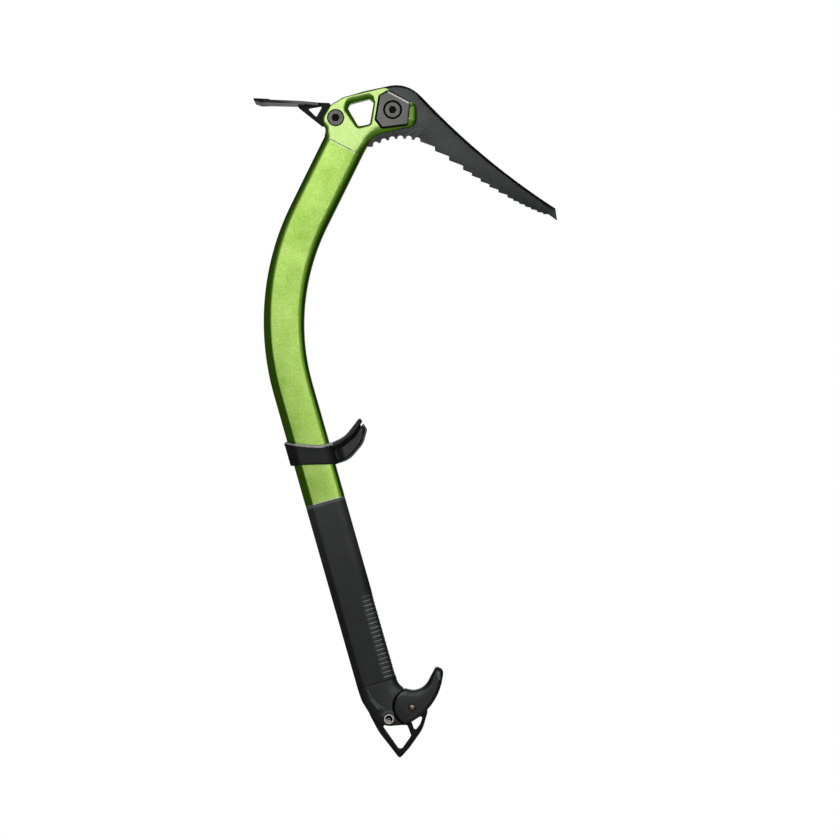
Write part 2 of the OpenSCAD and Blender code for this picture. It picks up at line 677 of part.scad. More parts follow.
module spike_nut() color("goldenrod") on_pommel() across(eyelet_at) rotate([180, 0, 0]) difference() {
    translate([0, 0, spike_rest]) cylinder(h = eyelet_deep - 1, r = eyelet_bore);
    translate([0, 0, spike_rest - 1]) cylinder(h = 4.5, r = spike_screw / 2 + pin_gap);
}

// Hook

slot_margin = 6;
slot_from = ear_to - hook_fold - slot_margin;
slot_to = 360 + ear_from + slot_margin;
slot_radius = ear_radius + 0.6;
hook_path = rounded(concat(
    [[-4.9, -13.3, 1.2, 0.6], [19.4, -2.5, 44, 3], [23.5, 27, 3.6, 2.4], [17.8, 29.7, 1.8, 0.8],
        [7.9, 11.4, 20, 2]],
    [for (p = arc([0, 0], hook_radius, 119, 241, 20)) [p[0], p[1], 0, 0.6]]));
pin_sink = 0.8;

module pommel_hook() color("dimgray") on_pommel() difference() {
    slab(hook_thick) polygon(flat(hook_path));
    both_edges(hook_path, hook_thick / 2);
    slab(spike_thick + 4 * seat_gap) {
        circle(slot_radius);
        polygon(concat([[0, 0]], arc([0, 0], 3 * hook_radius, slot_from, slot_to, 24)));
    }
    across([0, 0]) cylinder(h = 2 * hook_thick, d = hook_pin_size + 2 * pin_gap, center = true);
    for (side = [0, 180]) across([0, 0]) rotate([side, 0, 0]) translate([0, 0, hook_thick / 2 - pin_sink])
        cylinder(h = hook_thick, d = hook_pin_size + 1.6);
}

module hook_pin() color("goldenrod") on_pommel() across([0, 0]) difference() {
    cylinder(h = hook_thick - pin_sink, d = hook_pin_size, center = true);
    for (side = [0, 180]) rotate([side, 0, 0]) translate([0, 0, hook_thick / 2 - 2])
        cylinder(h = hook_thick, d = hook_pin_size / 2);
}

shaft();
grip_sleeve();
cap_pin();
head();
pick();
pick_plate_near();
pick_plate_far();
pick_bolt();
pick_nut();
adze();
adze_bolt();
adze_nut();
trigger_strap();
trigger_horn();
end_cap();
spike();
spike_bushes();
spike_bolt();
spike_nut();
pommel_hook();
hook_pin();
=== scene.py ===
"""Looks of an ice climbing tool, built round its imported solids."""

import json
import math

import bmesh
import bpy
import numpy as np
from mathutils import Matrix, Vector
from mathutils.geometry import delaunay_2d_cdt


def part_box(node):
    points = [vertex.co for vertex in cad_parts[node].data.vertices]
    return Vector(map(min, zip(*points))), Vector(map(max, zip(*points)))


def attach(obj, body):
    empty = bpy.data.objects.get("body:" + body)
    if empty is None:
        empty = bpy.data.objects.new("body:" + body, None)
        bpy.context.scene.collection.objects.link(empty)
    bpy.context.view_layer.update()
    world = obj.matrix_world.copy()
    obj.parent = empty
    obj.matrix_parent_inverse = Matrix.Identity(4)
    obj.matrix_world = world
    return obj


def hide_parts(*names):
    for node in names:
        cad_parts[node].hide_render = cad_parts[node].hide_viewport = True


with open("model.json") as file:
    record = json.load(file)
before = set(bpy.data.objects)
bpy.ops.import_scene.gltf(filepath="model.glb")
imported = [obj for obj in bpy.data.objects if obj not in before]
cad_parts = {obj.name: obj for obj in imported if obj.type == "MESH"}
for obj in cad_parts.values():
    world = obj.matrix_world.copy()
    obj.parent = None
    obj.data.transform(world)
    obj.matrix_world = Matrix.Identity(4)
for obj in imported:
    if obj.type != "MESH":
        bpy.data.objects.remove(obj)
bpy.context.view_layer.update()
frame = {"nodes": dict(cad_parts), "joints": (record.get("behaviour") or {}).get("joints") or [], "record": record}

# Places on the tool, in mm: outlines are drawn in X and Z, and Y goes across the tool.
MM = 0.001
JOINTS = {joint["name"]: joint for joint in frame["joints"]}


def middle(node):
    low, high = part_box(node)
    return np.array([(low[0] + high[0]) / 2, (low[2] + high[2]) / 2]) / MM


UP = np.array(JOINTS["trigger_slide"]["axis"])[[0, 2]]
FORE = np.array([UP[1], -UP[0]])
HINGE = np.array(JOINTS["hook_fold"]["pos_m"])[[0, 2]] / MM
PICK_BOLT = np.array([36.9, 27.8])
ADZE_BOLT = np.array([-5.4, 21.9])
EYELET = np.array([-17.2, -9.4])
SEAM = middle("pick_bolt") - PICK_BOLT
GRIP_HALF = frame["record"]["mounts"][0]["dims"]["length_mm"] / 2
LEVEL = np.array([1.0, 0.0])

AT_GRIP = (np.zeros(2), FORE)
AT_CAP = (-GRIP_HALF * UP, FORE)
AT_TRIGGER = ((GRIP_HALF + 37.7) * UP, FORE)
AT_POMMEL = (HINGE, LEVEL)
AT_HEAD = (SEAM, LEVEL)

HALF_THICK = 11.0
LOWER_DEPTH = 14.95
UPPER_DEPTH = 15.7
BEND_START = 157.0
BEND_RADIUS = 180.0
BEND_ANGLE = math.radians(42.2)
UPPER_RUN = 57.4
HEAD_PITCH = math.radians(26.3)


def lift(flat, y):
    """Points of (x, y, z) over flat ones of (x, z)."""
    return np.column_stack([flat[:, 0], np.broadcast_to(y, len(flat)), flat[:, 1]])


def put(points, place):
    """Moves points of (x, y, z) from a local frame to the tool's frame."""
    origin, right = place
    up = np.array([-right[1], right[0]])
    return lift(origin + points[:, :1] * right + points[:, 2:] * up, points[:, 1])


# Outlines

ARC_STEP = 6.0                # degrees


def unit(v):
    return v / np.linalg.norm(v)


def unit_rows(v):
    return v / np.maximum(np.linalg.norm(v, axis=1), 1e-9)[:, None]


def arc(centre, radius, start, end, count, edge):
    angles = np.radians(np.linspace(start, end, count))
    return [(centre[0] + radius * math.cos(a), centre[1] + radius * math.sin(a), 0, edge) for a in angles]


def corner_arc(corners, i, radius):
    """Centre, first angle and swing, in degrees, of the arc that rounds a corner of an outline."""
    p, before, after = (np.array(corners[k % len(corners)][:2]) for k in (i, i - 1, i + 1))
    u, v = unit(before - p), unit(after - p)
    half = math.acos(np.clip(u @ v, -1, 1)) / 2
    centre = p + unit(u + v) * radius / math.sin(half)
    first, last = (p + way * radius / math.tan(half) - centre for way in (u, v))
    start = math.degrees(math.atan2(first[1], first[0]))
    swing = (math.degrees(math.atan2(last[1], last[0])) - start + 540) % 360 - 180
    return centre, start, swing


def rounded(corners):
    """Outline of (x, z, edge width) through corners of (x, z, radius, edge width)."""
    out = []
    for i, (x, z, radius, edge) in enumerate(corners):
        if radius <= 0:
            out.append((x, z, edge))
            continue
        centre, start, swing = corner_arc(corners, i, radius)
        count = max(2, math.ceil(abs(swing) / ARC_STEP) + 1)
        out += [(q[0], q[1], edge) for q in arc(centre, radius, start, start + swing, count, edge)]
    return np.array(out)


def shifted(corners, by):
    return [(x + by[0], z + by[1], radius, edge) for x, z, radius, edge in corners]


def circle(centre, radius, edge=0.0, count=48):
    return rounded(arc(centre, radius, 0, 360 - 360 / count, count, edge))


def dense(path, gap):
    """Path with more points, none further than gap apart."""
    out = []
    for a, b in zip(path, np.roll(path, -1, axis=0)):
        count = max(1, math.ceil(np.hypot(*(b - a)[:2]) / gap))
        out += [a + (b - a) * k / count for k in range(count)]
    return np.array(out)


def way_out(path):
    """The way out of a closed outline at each of its points."""
    ahead = unit_rows((np.roll(path, -1, axis=0) - np.roll(path, 1, axis=0))[:, :2])
    return np.column_stack([ahead[:, 1], -ahead[:, 0]])


def area(path):
    x, z = path[:, 0], path[:, 1]
    return (x * np.roll(z, -1) - np.roll(x, -1) * z).sum() / 2


def within(points, paths):
    """Which points lie in the first path and not in the others, its holes."""
    x, z = points[:, 0], points[:, 1]
    odd = np.zeros(len(points), bool)
    for path in paths:
        for (x1, z1), (x2, z2) in zip(path[:, :2], np.roll(path[:, :2], -1, axis=0)):
            if z1 != z2:
                odd ^= ((z1 > z) != (z2 > z)) & (x < (x2 - x1) * (z - z1) / (z2 - z1) + x1)
    return odd


def reach(points, path):
    """Distances from points to each length of a closed path, and the edge width there."""
    a, b = path, np.roll(path, -1, axis=0)
    run = (b - a)[:, :2]
    length = np.maximum((run ** 2).sum(1), 1e-12)
    rel = points[:, None, :] - a[None, :, :2]
    t = np.clip((rel * run).sum(2) / length, 0, 1)
    gap = np.linalg.norm(rel - t[:, :, None] * run, axis=2)
    return gap, a[:, 2] + (b - a)[:, 2] * t


def nearest_edge(points, path):
    """Distance from each point to a closed path, and the edge width at the nearest place."""
    gap, width = reach(points, path)
    nearest = np.arange(len(points)), gap.argmin(1)
    return gap[nearest], width[nearest]


def edge_drop(points, paths, power=2.0, depth=1.0):
    """How far a face is set back near its edges: power 1 is a flat slope, 2 a round."""
    drop = np.zeros(len(points))
    for path in paths:
        gap, width = reach(points, path)
        width = np.maximum(width, 1e-4)
        share = 1 - np.clip(gap / width, 0, 1)
        fall = width * depth * (1 - (1 - share ** power) ** (1 / power))
        drop = np.maximum(drop, fall.max(axis=1))
    return drop


def polar(points):
    """Distance from the origin and bearing in degrees of flat points."""
    return np.hypot(points[:, 0], points[:, 1]), np.degrees(np.arctan2(points[:, 1], points[:, 0]))


def smooth(low, high, value):
    """Soft step from 0 at low to 1 at high."""
    t = np.clip((value - low) / (high - low), 0, 1)
    return t * t * (3 - 2 * t)


# Meshes

RINGS = (0.06, 0.16, 0.3, 0.45, 0.62, 0.8, 1.0)     # rings of points along an edge, as shares of its width
LEAST_EDGE = 0.3
RING_CLEAR = 0.85             # share of its offset that a ring's point keeps from every edge
ROW_HEIGHT = 0.866            # rows of an even net, in gaps
GRID_CLEAR = 0.4
CREASE_CLEAR = 0.3
SPOT_MERGE = 0.12
WELD = 1e-6                   # metres: edges and slivers thinner than this are taken out
WELD_PASSES = 8               # each pass clips one end off a long sliver


def net(paths, creases, gap):
    """Points and triangles that fill the first path, leave out the others and follow the creases."""
    lines = [path[:, :2] for path in paths] + [dense(c, gap / 2)[:, :2] for c in creases]
    links, start = [], 0
    for line in lines:
        count = len(line)
        links += [(start + k, start + (k + 1) % count) for k in range(count)]
        start += count
    low, high = paths[0][:, :2].min(0), paths[0][:, :2].max(0)
    rows = np.arange(low[1], high[1], gap * ROW_HEIGHT)
    grid = [(x + gap / 2 * (k % 2), z) for k, z in enumerate(rows) for x in np.arange(low[0], high[0], gap)]
    spots, wanted = [np.array(grid)], [np.full(len(grid), -1.0)]
    for path in paths:
        outward = way_out(path)
        for share in RINGS:
            offset = np.maximum(path[:, 2], LEAST_EDGE) * share
            spots.append(path[:, :2] - outward * offset[:, None])
            wanted.append(offset * RING_CLEAR)
    spots, wanted = np.concatenate(spots), np.concatenate(wanted)
    keep = within(spots, paths)
    for path in paths:
        far, width = nearest_edge(spots, path)
        keep &= np.where(wanted < 0, far > np.maximum(width, LEAST_EDGE) + gap * GRID_CLEAR, far >= wanted)
    for crease in creases:
        keep &= nearest_edge(spots, crease)[0] > gap * CREASE_CLEAR
    spots = spots[keep]
    _, first = np.unique(np.round(spots / SPOT_MERGE), axis=0, return_index=True)
    points = np.concatenate(lines + [spots[np.sort(first)]])
    found, _, faces, origins, _, _ = delaunay_2d_cdt([Vector(p) for p in points], links, [], 0, 1e-5)
    index = {old: new for new, olds in enumerate(origins) for old in olds}
    found = np.array([tuple(p) for p in found])
    faces = np.array(faces)
    keep = within(found[faces].mean(1), paths)
    rims, start = [], 0
    for path in paths:
        rim = [index[start + k] for k in range(len(path))]
        rims.append([b for a, b in zip(rim[-1:] + rim[:-1], rim) if a != b])
        start += len(path)
    onward = {pair for rim in rims for pair in zip(rim, rim[1:] + rim[:1])}
    # A sliver on a rim has no clear middle: the way it runs along the rim says which side it is on
    for k, (a, b, c) in enumerate(faces):
        sides = {(a, b), (b, c), (c, a)}
        if sides & onward:
            keep[k] = True
        elif {(q, p) for p, q in sides} & onward:
            keep[k] = False
    return found, faces[keep], rims


def shell_faces(tris, rims, count):
    """Faces of two layers of one net, count points apart, and of the walls between them."""
    faces = [tuple(t) for t in tris] + [(c + count, b + count, a + count) for a, b, c in tris]
    for rim in rims:
        faces += [(a, a + count, b + count, b) for a, b in zip(rim, rim[1:] + rim[:1])]
    return faces


def loft(rings, closed=False):
    """Skin over rings of the same number of points, with flat ends unless it closes on itself."""
    count = len(rings[0])
    total = len(rings)
    faces = []
    for k in range(total if closed else total - 1):
        a, b = k * count, (k + 1) % total * count
        faces += [(a + i, a + (i + 1) % count, b + (i + 1) % count, b + i) for i in range(count)]
    if not closed:
        faces += [tuple(range(count))[::-1], tuple(range((total - 1) * count, total * count))]
    return np.concatenate(rings), faces


def closed_up(mesh, sharp, turn=True):
    """Closes hairline gaps, takes out slivers, turns the faces outwards and smooths the mesh."""
    bm = bmesh.new()
    bm.from_mesh(mesh)
    bmesh.ops.holes_fill(bm, edges=[edge for edge in bm.edges if edge.is_boundary])
    for _ in range(WELD_PASSES):
        bmesh.ops.dissolve_degenerate(bm, dist=WELD, edges=bm.edges)
    if turn:
        bmesh.ops.recalc_face_normals(bm, faces=bm.faces)
    bm.to_mesh(mesh)
    bm.free()
    mesh.shade_smooth()
    mesh.set_sharp_from_angle(angle=math.radians(sharp))


def finish_mesh(name, mesh, sharp):
    closed_up(mesh, sharp)
    piece = bpy.data.objects.new(name, mesh)
    bpy.context.collection.objects.link(piece)
    return piece


def solid(name, points, faces, sharp=38.0):
    mesh = bpy.data.meshes.new(name)
    mesh.from_pydata((np.asarray(points) * MM).tolist(), [], [tuple(int(i) for i in f) for f in faces])
    return finish_mesh(name, mesh, sharp)


def slab(name, place, outlines, half, drop, creases=(), gap=0.9, sharp=38.0, shift=0.0):
    """Flat piece over an outline with holes: two faces set back by drop, and the walls between them."""
    paths = [dense(path, gap * 0.6) for path in outlines]
    paths = [path if (area(path) > 0) == (k == 0) else path[::-1] for k, path in enumerate(paths)]
    flat, tris, rims = net(paths, creases, gap)
    near = lift(flat, drop(flat, paths) - half)
    points = np.concatenate([near, near * (1, -1, 1)]) + (0, shift, 0)
    return solid(name, put(points, place), shell_faces(tris, rims, len(flat)), sharp)


def layered(piece, *layers):
    for layer in layers:
        piece.data.materials.append(layer)


def prism(path, low, high, place, layers=()):
    """Plain cutter over an outline, between two depths; its faces take the last of the material layers."""
    points, faces = loft([lift(path, y) for y in (low, high)])
    tool = solid("cutter", put(points, place), faces)
    layered(tool, *layers)
    for face in tool.data.polygons:
        face.material_index = max(len(layers) - 1, 0)
    return tool


def carve(piece, tools, operation="DIFFERENCE", sharp=38.0):
    """Cuts tools out of a piece, or joins them to it, and removes them."""
    for tool in tools:
        step = piece.modifiers.new("carve", "BOOLEAN")
        step.object, step.operation, step.solver = tool, operation, "EXACT"
    graph = bpy.context.evaluated_depsgraph_get()
    mesh = bpy.data.meshes.new_from_object(piece.evaluated_get(graph))
    piece.modifiers.clear()
    piece.data = mesh
    for tool in tools:
        bpy.data.objects.remove(tool)
    closed_up(mesh, sharp, turn=False)
    return piece


def grown(path, by):
    """Outline set out by a distance, for seats and gaps."""
    if area(path) < 0:
        path = path[::-1]
    ahead = unit_rows(np.roll(path, -1, axis=0)[:, :2] - path[:, :2])
    behind = np.roll(ahead, 1, axis=0)
    out = np.column_stack([ahead[:, 1] + behind[:, 1], -ahead[:, 0] - behind[:, 0]])
    out = out / np.maximum((out ** 2).sum(1), 0.5)[:, None] * 2
    return np.column_stack([path[:, :2] + out * by, path[:, 2]])


def lathe(name, centre, profile, closed=False):
    """Round piece about an axis along Y, from (radius, y) pairs; a closed profile gives a ring."""
    rings = [lift(circle(centre, radius, count=40), y) for radius, y in profile]
    return solid(name, *loft(rings, closed), sharp=30)


FLAT_ANGLE = math.radians(0.6)


def dressed(name, bevel, corner):
    """Copy of a CAD node with its edges broken; the broken edges take the second material."""
    bm = bmesh.new()
    bm.from_mesh(frame["nodes"][name].data)
    bmesh.ops.remove_doubles(bm, verts=bm.verts, dist=2 * WELD)
    bmesh.ops.dissolve_limit(bm, angle_limit=FLAT_ANGLE, verts=bm.verts, edges=bm.edges)
    edges = [e for e in bm.edges if len(e.link_faces) == 2 and e.calc_face_angle(0) > math.radians(corner)]
    for face in bm.faces:
        face.material_index = 0
    broken = bmesh.ops.bevel(bm, geom=edges, offset=bevel * MM, offset_type="OFFSET", segments=2, profile=0.6,
                             affect="EDGES", clamp_overlap=True)
    for face in broken["faces"]:
        face.material_index = 1
    mesh = bpy.data.meshes.new(name)
    bm.to_mesh(mesh)
    bm.free()
    return finish_mesh(name + "_look", mesh, 32)


# Materials

def ink(tree, kind, values=None, **links):
    """Adds a node, sets its values and links sockets into it."""
    added = tree.nodes.new(kind)
    for key, value in (values or {}).items():
        if isinstance(key, str) and hasattr(added, key) and key not in added.inputs:
            setattr(added, key, value)
        else:
            added.inputs[key].default_value = value
    for key, source in links.items():
        tree.links.new(source, added.inputs[key])
    return added


def noise(tree, spot, scale, detail, rough):
    return ink(tree, "ShaderNodeTexNoise", {"Scale": scale, "Detail": detail, "Roughness": rough},
               Vector=spot).outputs["Fac"]


def spread(tree, source, low, high, from_low=0.3, from_high=0.7):
    return ink(tree, "ShaderNodeMapRange", {"From Min": from_low, "From Max": from_high, "To Min": low,
                                            "To Max": high}, Value=source).outputs["Result"]


def feed(tree, socket, value):
    """Sets a socket to a number or colour, or links another socket into it."""
    if isinstance(value, bpy.types.NodeSocket):
        tree.links.new(value, socket)
    else:
        socket.default_value = (*value, 1) if isinstance(value, tuple) else value


MIX_SOCKETS = {"RGBA": (0, 6, 7, 2), "FLOAT": (0, 2, 3, 0)}     # share, the two values, and the outcome


def mixed(tree, share, first, second, kind="RGBA"):
    added = ink(tree, "ShaderNodeMix", {"data_type": kind})
    *sockets, outcome = MIX_SOCKETS[kind]
    for socket, value in zip(sockets, (share, first, second)):
        feed(tree, added.inputs[socket], value)
    return added.outputs[outcome]


def sum_of(tree, operation, *terms):
    """Arithmetic on sockets and numbers."""
    added = ink(tree, "ShaderNodeMath", {"operation": operation})
    for socket, term in zip(added.inputs, terms):
        feed(tree, socket, term)
    return added.outputs[0]


def surface(tree, kind, *sources):
    """Joins sockets in a node that becomes the material's surface."""
    added = ink(tree, kind)
    for socket, source in zip(added.inputs, sources):
        tree.links.new(source, socket)
    tree.links.new(added.outputs[0], tree.nodes["Material Output"].inputs["Surface"])


def blank(name):
    """New material and its node tree."""
    material = bpy.data.materials.new(name)
    material.use_nodes = True
    return material, material.node_tree


def finish_of(name, dark, light, metallic, roughness, grain, grain_scale=2000, painted_light_colour=None, specular=0.5,
              shade_colour=None):
    """Cloudy, speckled colour with fine grain, with painted light from the mesh's marks, and a deeper colour of
    painted shade on faces turned from Y.
    """
    material, tree = blank(name)
    base = tree.nodes["Principled BSDF"]
    spot = ink(tree, "ShaderNodeTexCoord").outputs["Object"]
    cloud = noise(tree, spot, CLOUD_SCALE, 4.0, 0.6)
    speck = noise(tree, spot, grain_scale * SPECK_SHARE, 4.0, 0.75)
    fine = noise(tree, spot, grain_scale, 3.0, 0.6)
    blend = sum_of(tree, "ADD", sum_of(tree, "MULTIPLY", cloud, 1 - SPECK_WEIGHT),
                   sum_of(tree, "MULTIPLY", speck, SPECK_WEIGHT))
    colour = mixed(tree, spread(tree, blend, 0, 1, *BLEND_RANGE), dark, light)
    rough = spread(tree, fine, roughness - ROUGH_SPREAD, roughness + ROUGH_SPREAD)
    # Painted shade: the colour turns deeper green as the face turns away from Y.
    if shade_colour:
        normal = ink(tree, "ShaderNodeNewGeometry").outputs["Normal"]
        across = sum_of(tree, "ABSOLUTE", ink(tree, "ShaderNodeSeparateXYZ", Vector=normal).outputs["Y"])
        colour = mixed(tree, spread(tree, across, 0, 1, *FACING_RANGE), shade_colour, colour)
    # Painted light: the mesh's marks blend in the painted light colour, mottled by patches: highlights and
    # reflections on most pieces, shade on the pick.
    if painted_light_colour:
        painted_light = ink(tree, "ShaderNodeAttribute", {"attribute_name": "painted_light"}).outputs["Fac"]
        patch = spread(tree, noise(tree, spot, PATCH_SCALE, 3.0, 0.7), 0.55, 1.0)
        colour = mixed(tree, sum_of(tree, "MULTIPLY", painted_light, patch), colour, painted_light_colour)
    bump = ink(tree, "ShaderNodeBump", {"Strength": grain, "Distance": GRAIN_HEIGHT}, Height=fine)
    tree.links.new(colour, base.inputs["Base Color"])
    tree.links.new(rough, base.inputs["Roughness"])
    tree.links.new(bump.outputs["Normal"], base.inputs["Normal"])
    base.inputs["Metallic"].default_value = metallic
    base.inputs["Specular IOR Level"].default_value = specular
    return material


CLOUD_SCALE = 60.0
PATCH_SCALE = 6 * CLOUD_SCALE
ROUGH_SPREAD = 0.05
SPECK_SHARE = 0.45            # scale of the specks, as a share of the grain's
SPECK_WEIGHT = 0.6            # specks against clouds
BLEND_RANGE = (0.36, 0.64)
FACING_RANGE = (0.85, 0.99)
GRAIN_HEIGHT = 0.0002
# Painted shade colour for faces of the green parts turned away from Y.
PAINTED_SHADE_GREEN = (0.2, 0.5, 0.03)
GREEN = finish_of("green_aluminium", (0.27, 0.47, 0.065), (0.5, 0.735, 0.19), 1.0, 0.36, 0.2, 1500,
                  shade_colour=PAINTED_SHADE_GREEN)
PALE_GREEN = finish_of("pale_green_aluminium", (0.43, 0.61, 0.2), (0.52, 0.7, 0.25), 1.0, 0.34, 0.12, 1700,
                       shade_colour=PAINTED_SHADE_GREEN)
BARE = finish_of("bare_aluminium", (0.8, 0.82, 0.82), (0.9, 0.91, 0.91), 1.0, 0.3, 0.05, 2200)
# The pick's second colour is a painted shade, darker towards its tip.
PICK = finish_of("pick_steel", (0.045, 0.048, 0.047), (0.051, 0.054, 0.053), 1.0, 0.26, 0.06, 1800,
                 painted_light_colour=(0.012, 0.013, 0.013))
# Painted shade: the pick's ground back and broken edges are darker.
PICK_SHADED_BEVEL = finish_of("pick_bevel", (0.018, 0.019, 0.019), (0.026, 0.027, 0.027), 1.0, 0.42, 0.1, 1800)
STEEL = finish_of("bare_steel", (0.1, 0.102, 0.1), (0.135, 0.135, 0.132), 1.0, 0.36, 0.08)
# Lighter steel on broken edges: rubbed steel on the screws' edges, and a painted highlight along the pick's back.
RUBBED_AND_SHEEN_STEEL = finish_of("rubbed_and_sheen_steel", (0.2, 0.2, 0.195), (0.3, 0.3, 0.29), 1.0, 0.42, 0.06)
# Bright steel of the eyelet, also used as a painted highlight on the plates' upper bevels.
SILVER_AND_GLINT = finish_of("eyelet_steel_and_glint", (0.8, 0.8, 0.79), (0.9, 0.9, 0.88), 0.6, 0.28, 0.05)
SOOT = ((0.003, 0.003, 0.003), (0.005, 0.005, 0.005))
BLACK = finish_of("black_steel", *SOOT, 0.0, 0.42, 0.12, 1600, specular=0.17)
# Black steel with a grey painted reflection on the blade's underside and flanks.
BLADE_REFLECTION = finish_of("blade_painted_reflection", *SOOT, 0.0, 0.38, 0.12, 1600, painted_light_colour=(0.3, 0.3, 0.29), specular=0.17)
# The second colours of the rubber, strap and nylon are the colours of their painted highlights.
RUBBER = finish_of("black_rubber", (0.004, 0.0044, 0.0044), (0.008, 0.0086, 0.0085), 0.0, 0.52, 0.25, 1300,
                   painted_light_colour=(0.32, 0.33, 0.328), specular=0.48)
STRAP = finish_of("strap_rubber", (0.003, 0.0033, 0.0033), (0.006, 0.0064, 0.0064), 0.0, 0.5, 0.25, 1300,
                  painted_light_colour=(0.4, 0.405, 0.4), specular=0.38)
NYLON = finish_of("black_nylon", (0.004, 0.0044, 0.0044), (0.007, 0.0076, 0.0075), 0.0, 0.42, 0.15, 1500,
                  painted_light_colour=(0.16, 0.166, 0.165), specular=0.56)
BRASS = finish_of("brass", (0.34, 0.27, 0.17), (0.48, 0.39, 0.26), 1.0, 0.35, 0.06)
COPPER = finish_of("copper", (0.8, 0.6, 0.48), (0.92, 0.74, 0.62), 0.4, 0.35, 0.06)
# Black of painted shade in holes, gaps, sockets and side walls.
PAINTED_SHADE_BLACK = finish_of("painted_shade_black", (0.004, 0.004, 0.004), (0.006, 0.006, 0.006), 0.0, 0.6, 0.05,
                specular=0.1)


def dress(piece, body, material, slot, *nodes):
    """Gives a piece its material and body, and hides the nodes it stands for; the slot is not used."""
    if not piece.data.materials:
        layered(piece, material)
    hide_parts(*nodes)
    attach(piece, body)


def mark(piece, values):
    """Stores the painted light at each point of a piece for its material: highlights and reflections, and on the
    pick a shade.
    """
    layer = piece.data.attributes.new("painted_light", "FLOAT", "POINT")
    layer.data.foreach_set("value", np.asarray(values, np.float32))


def local(piece, place):
    """Flat points of a piece in a local frame and their places across the tool, in mm."""
    points = np.array([v.co for v in piece.data.vertices]) / MM
    origin, right = place
    flat = points[:, [0, 2]] - origin
    up = np.array([-right[1], right[0]])
    return np.column_stack([flat @ right, flat @ up]), points[:, 1]


# Shaft

CROWN = 0.12
FACET = 5.7
BELLY_STEPS = 12
FACET_STEPS = 6


def section(depth, thick, facet, facet_round, belly_round):
    """Section of the tube in X and Y: two facets along the spine, round belly edges."""
    corners = [(-depth + facet, -thick), (depth, -thick), (depth, thick), (-depth + facet, thick),
               (-depth, thick - facet), (-depth, facet - thick)]
    out = []
    for i in range(len(corners)):
        radius, count = (belly_round, BELLY_STEPS) if i in (1, 2) else (facet_round, FACET_STEPS)
        centre, start, swing = corner_arc(corners, i, radius)
        out += [spot[:2] for spot in arc(centre, radius, start, start + swing, count + 1, 0)]
    out = np.array(out)
    out[:, 1] *= 1 - CROWN * (out[:, 0] / depth) ** 2
    return out


ARC_RUN = BEND_RADIUS * BEND_ANGLE
LOWER_RUN = BEND_START - GRIP_HALF
SHAFT_RUN = LOWER_RUN + ARC_RUN + UPPER_RUN


def along_shaft(run):
    """Place on the centre line, that far above the grip."""
    if run <= LOWER_RUN:
        spot, angle = np.array([0.0, GRIP_HALF + run]), 0.0
    else:
        angle = min((run - LOWER_RUN) / BEND_RADIUS, BEND_ANGLE)
        spot = np.array([BEND_RADIUS * (1 - math.cos(angle)), BEND_START + BEND_RADIUS * math.sin(angle)])
        rest = max(run - LOWER_RUN - ARC_RUN, 0)
        spot = spot + rest * np.array([math.sin(angle), math.cos(angle)])
    right = np.array([math.cos(angle), -math.sin(angle)])
    return spot[0] * FORE + spot[1] * UP, right[0] * FORE + right[1] * UP


def shaft_section(run, inset=0.0):
    """Section that deepens and softens from the grip to the head."""
    soft = smooth(90, 235, run)
    depth = LOWER_DEPTH + (UPPER_DEPTH - LOWER_DEPTH) * smooth(110, 240, run)
    facet = FACET - 2.4 * soft - inset * FACET_INSET
    return section(depth - inset, HALF_THICK - inset, facet, 1.6 + 4.2 * soft, 4.4 + 2.4 * soft)


FACET_INSET = 0.586           # change of a facet's width with the section's inset
RING_LOW = 0.5                # bare rings at the tube's ends
TAIL_INSET = 2.1
TAIL_RUNS = (-2 * GRIP_HALF, -GRIP_HALF, -0.02)
FOOT_ROUND, TOP_ROUND = 0.25, 0.2
runs = [FOOT_ROUND, RING_LOW] + list(np.linspace(3, SHAFT_RUN - 3, 92))
runs += [SHAFT_RUN - RING_LOW, SHAFT_RUN - TOP_ROUND]
stations = [(run, TAIL_INSET) for run in TAIL_RUNS] + [(0.0, TAIL_INSET), (0.0, FOOT_ROUND)]
stations += [(run, 0.0) for run in runs] + [(SHAFT_RUN, TOP_ROUND)]
rings = []
for run, inset in stations:
    origin, right = along_shaft(run)
    shape = shaft_section(run, inset)
    rings.append(lift(origin + shape[:, :1] * right, shape[:, 1]))
shaft = solid("shaft_tube", *loft(rings), sharp=30)
layered(shaft, GREEN, BARE)
per_ring = len(rings[0])
for k, (run, inset) in enumerate(stations[:-1]):
    bare = 0 <= run < RING_LOW and inset < 1 or run >= SHAFT_RUN - RING_LOW
    for face in shaft.data.polygons[k * per_ring:(k + 1) * per_ring]:
        face.material_index = 1 if bare else 0
dress(shaft, "tool", GREEN, "green_aluminium", "shaft")

# Grip

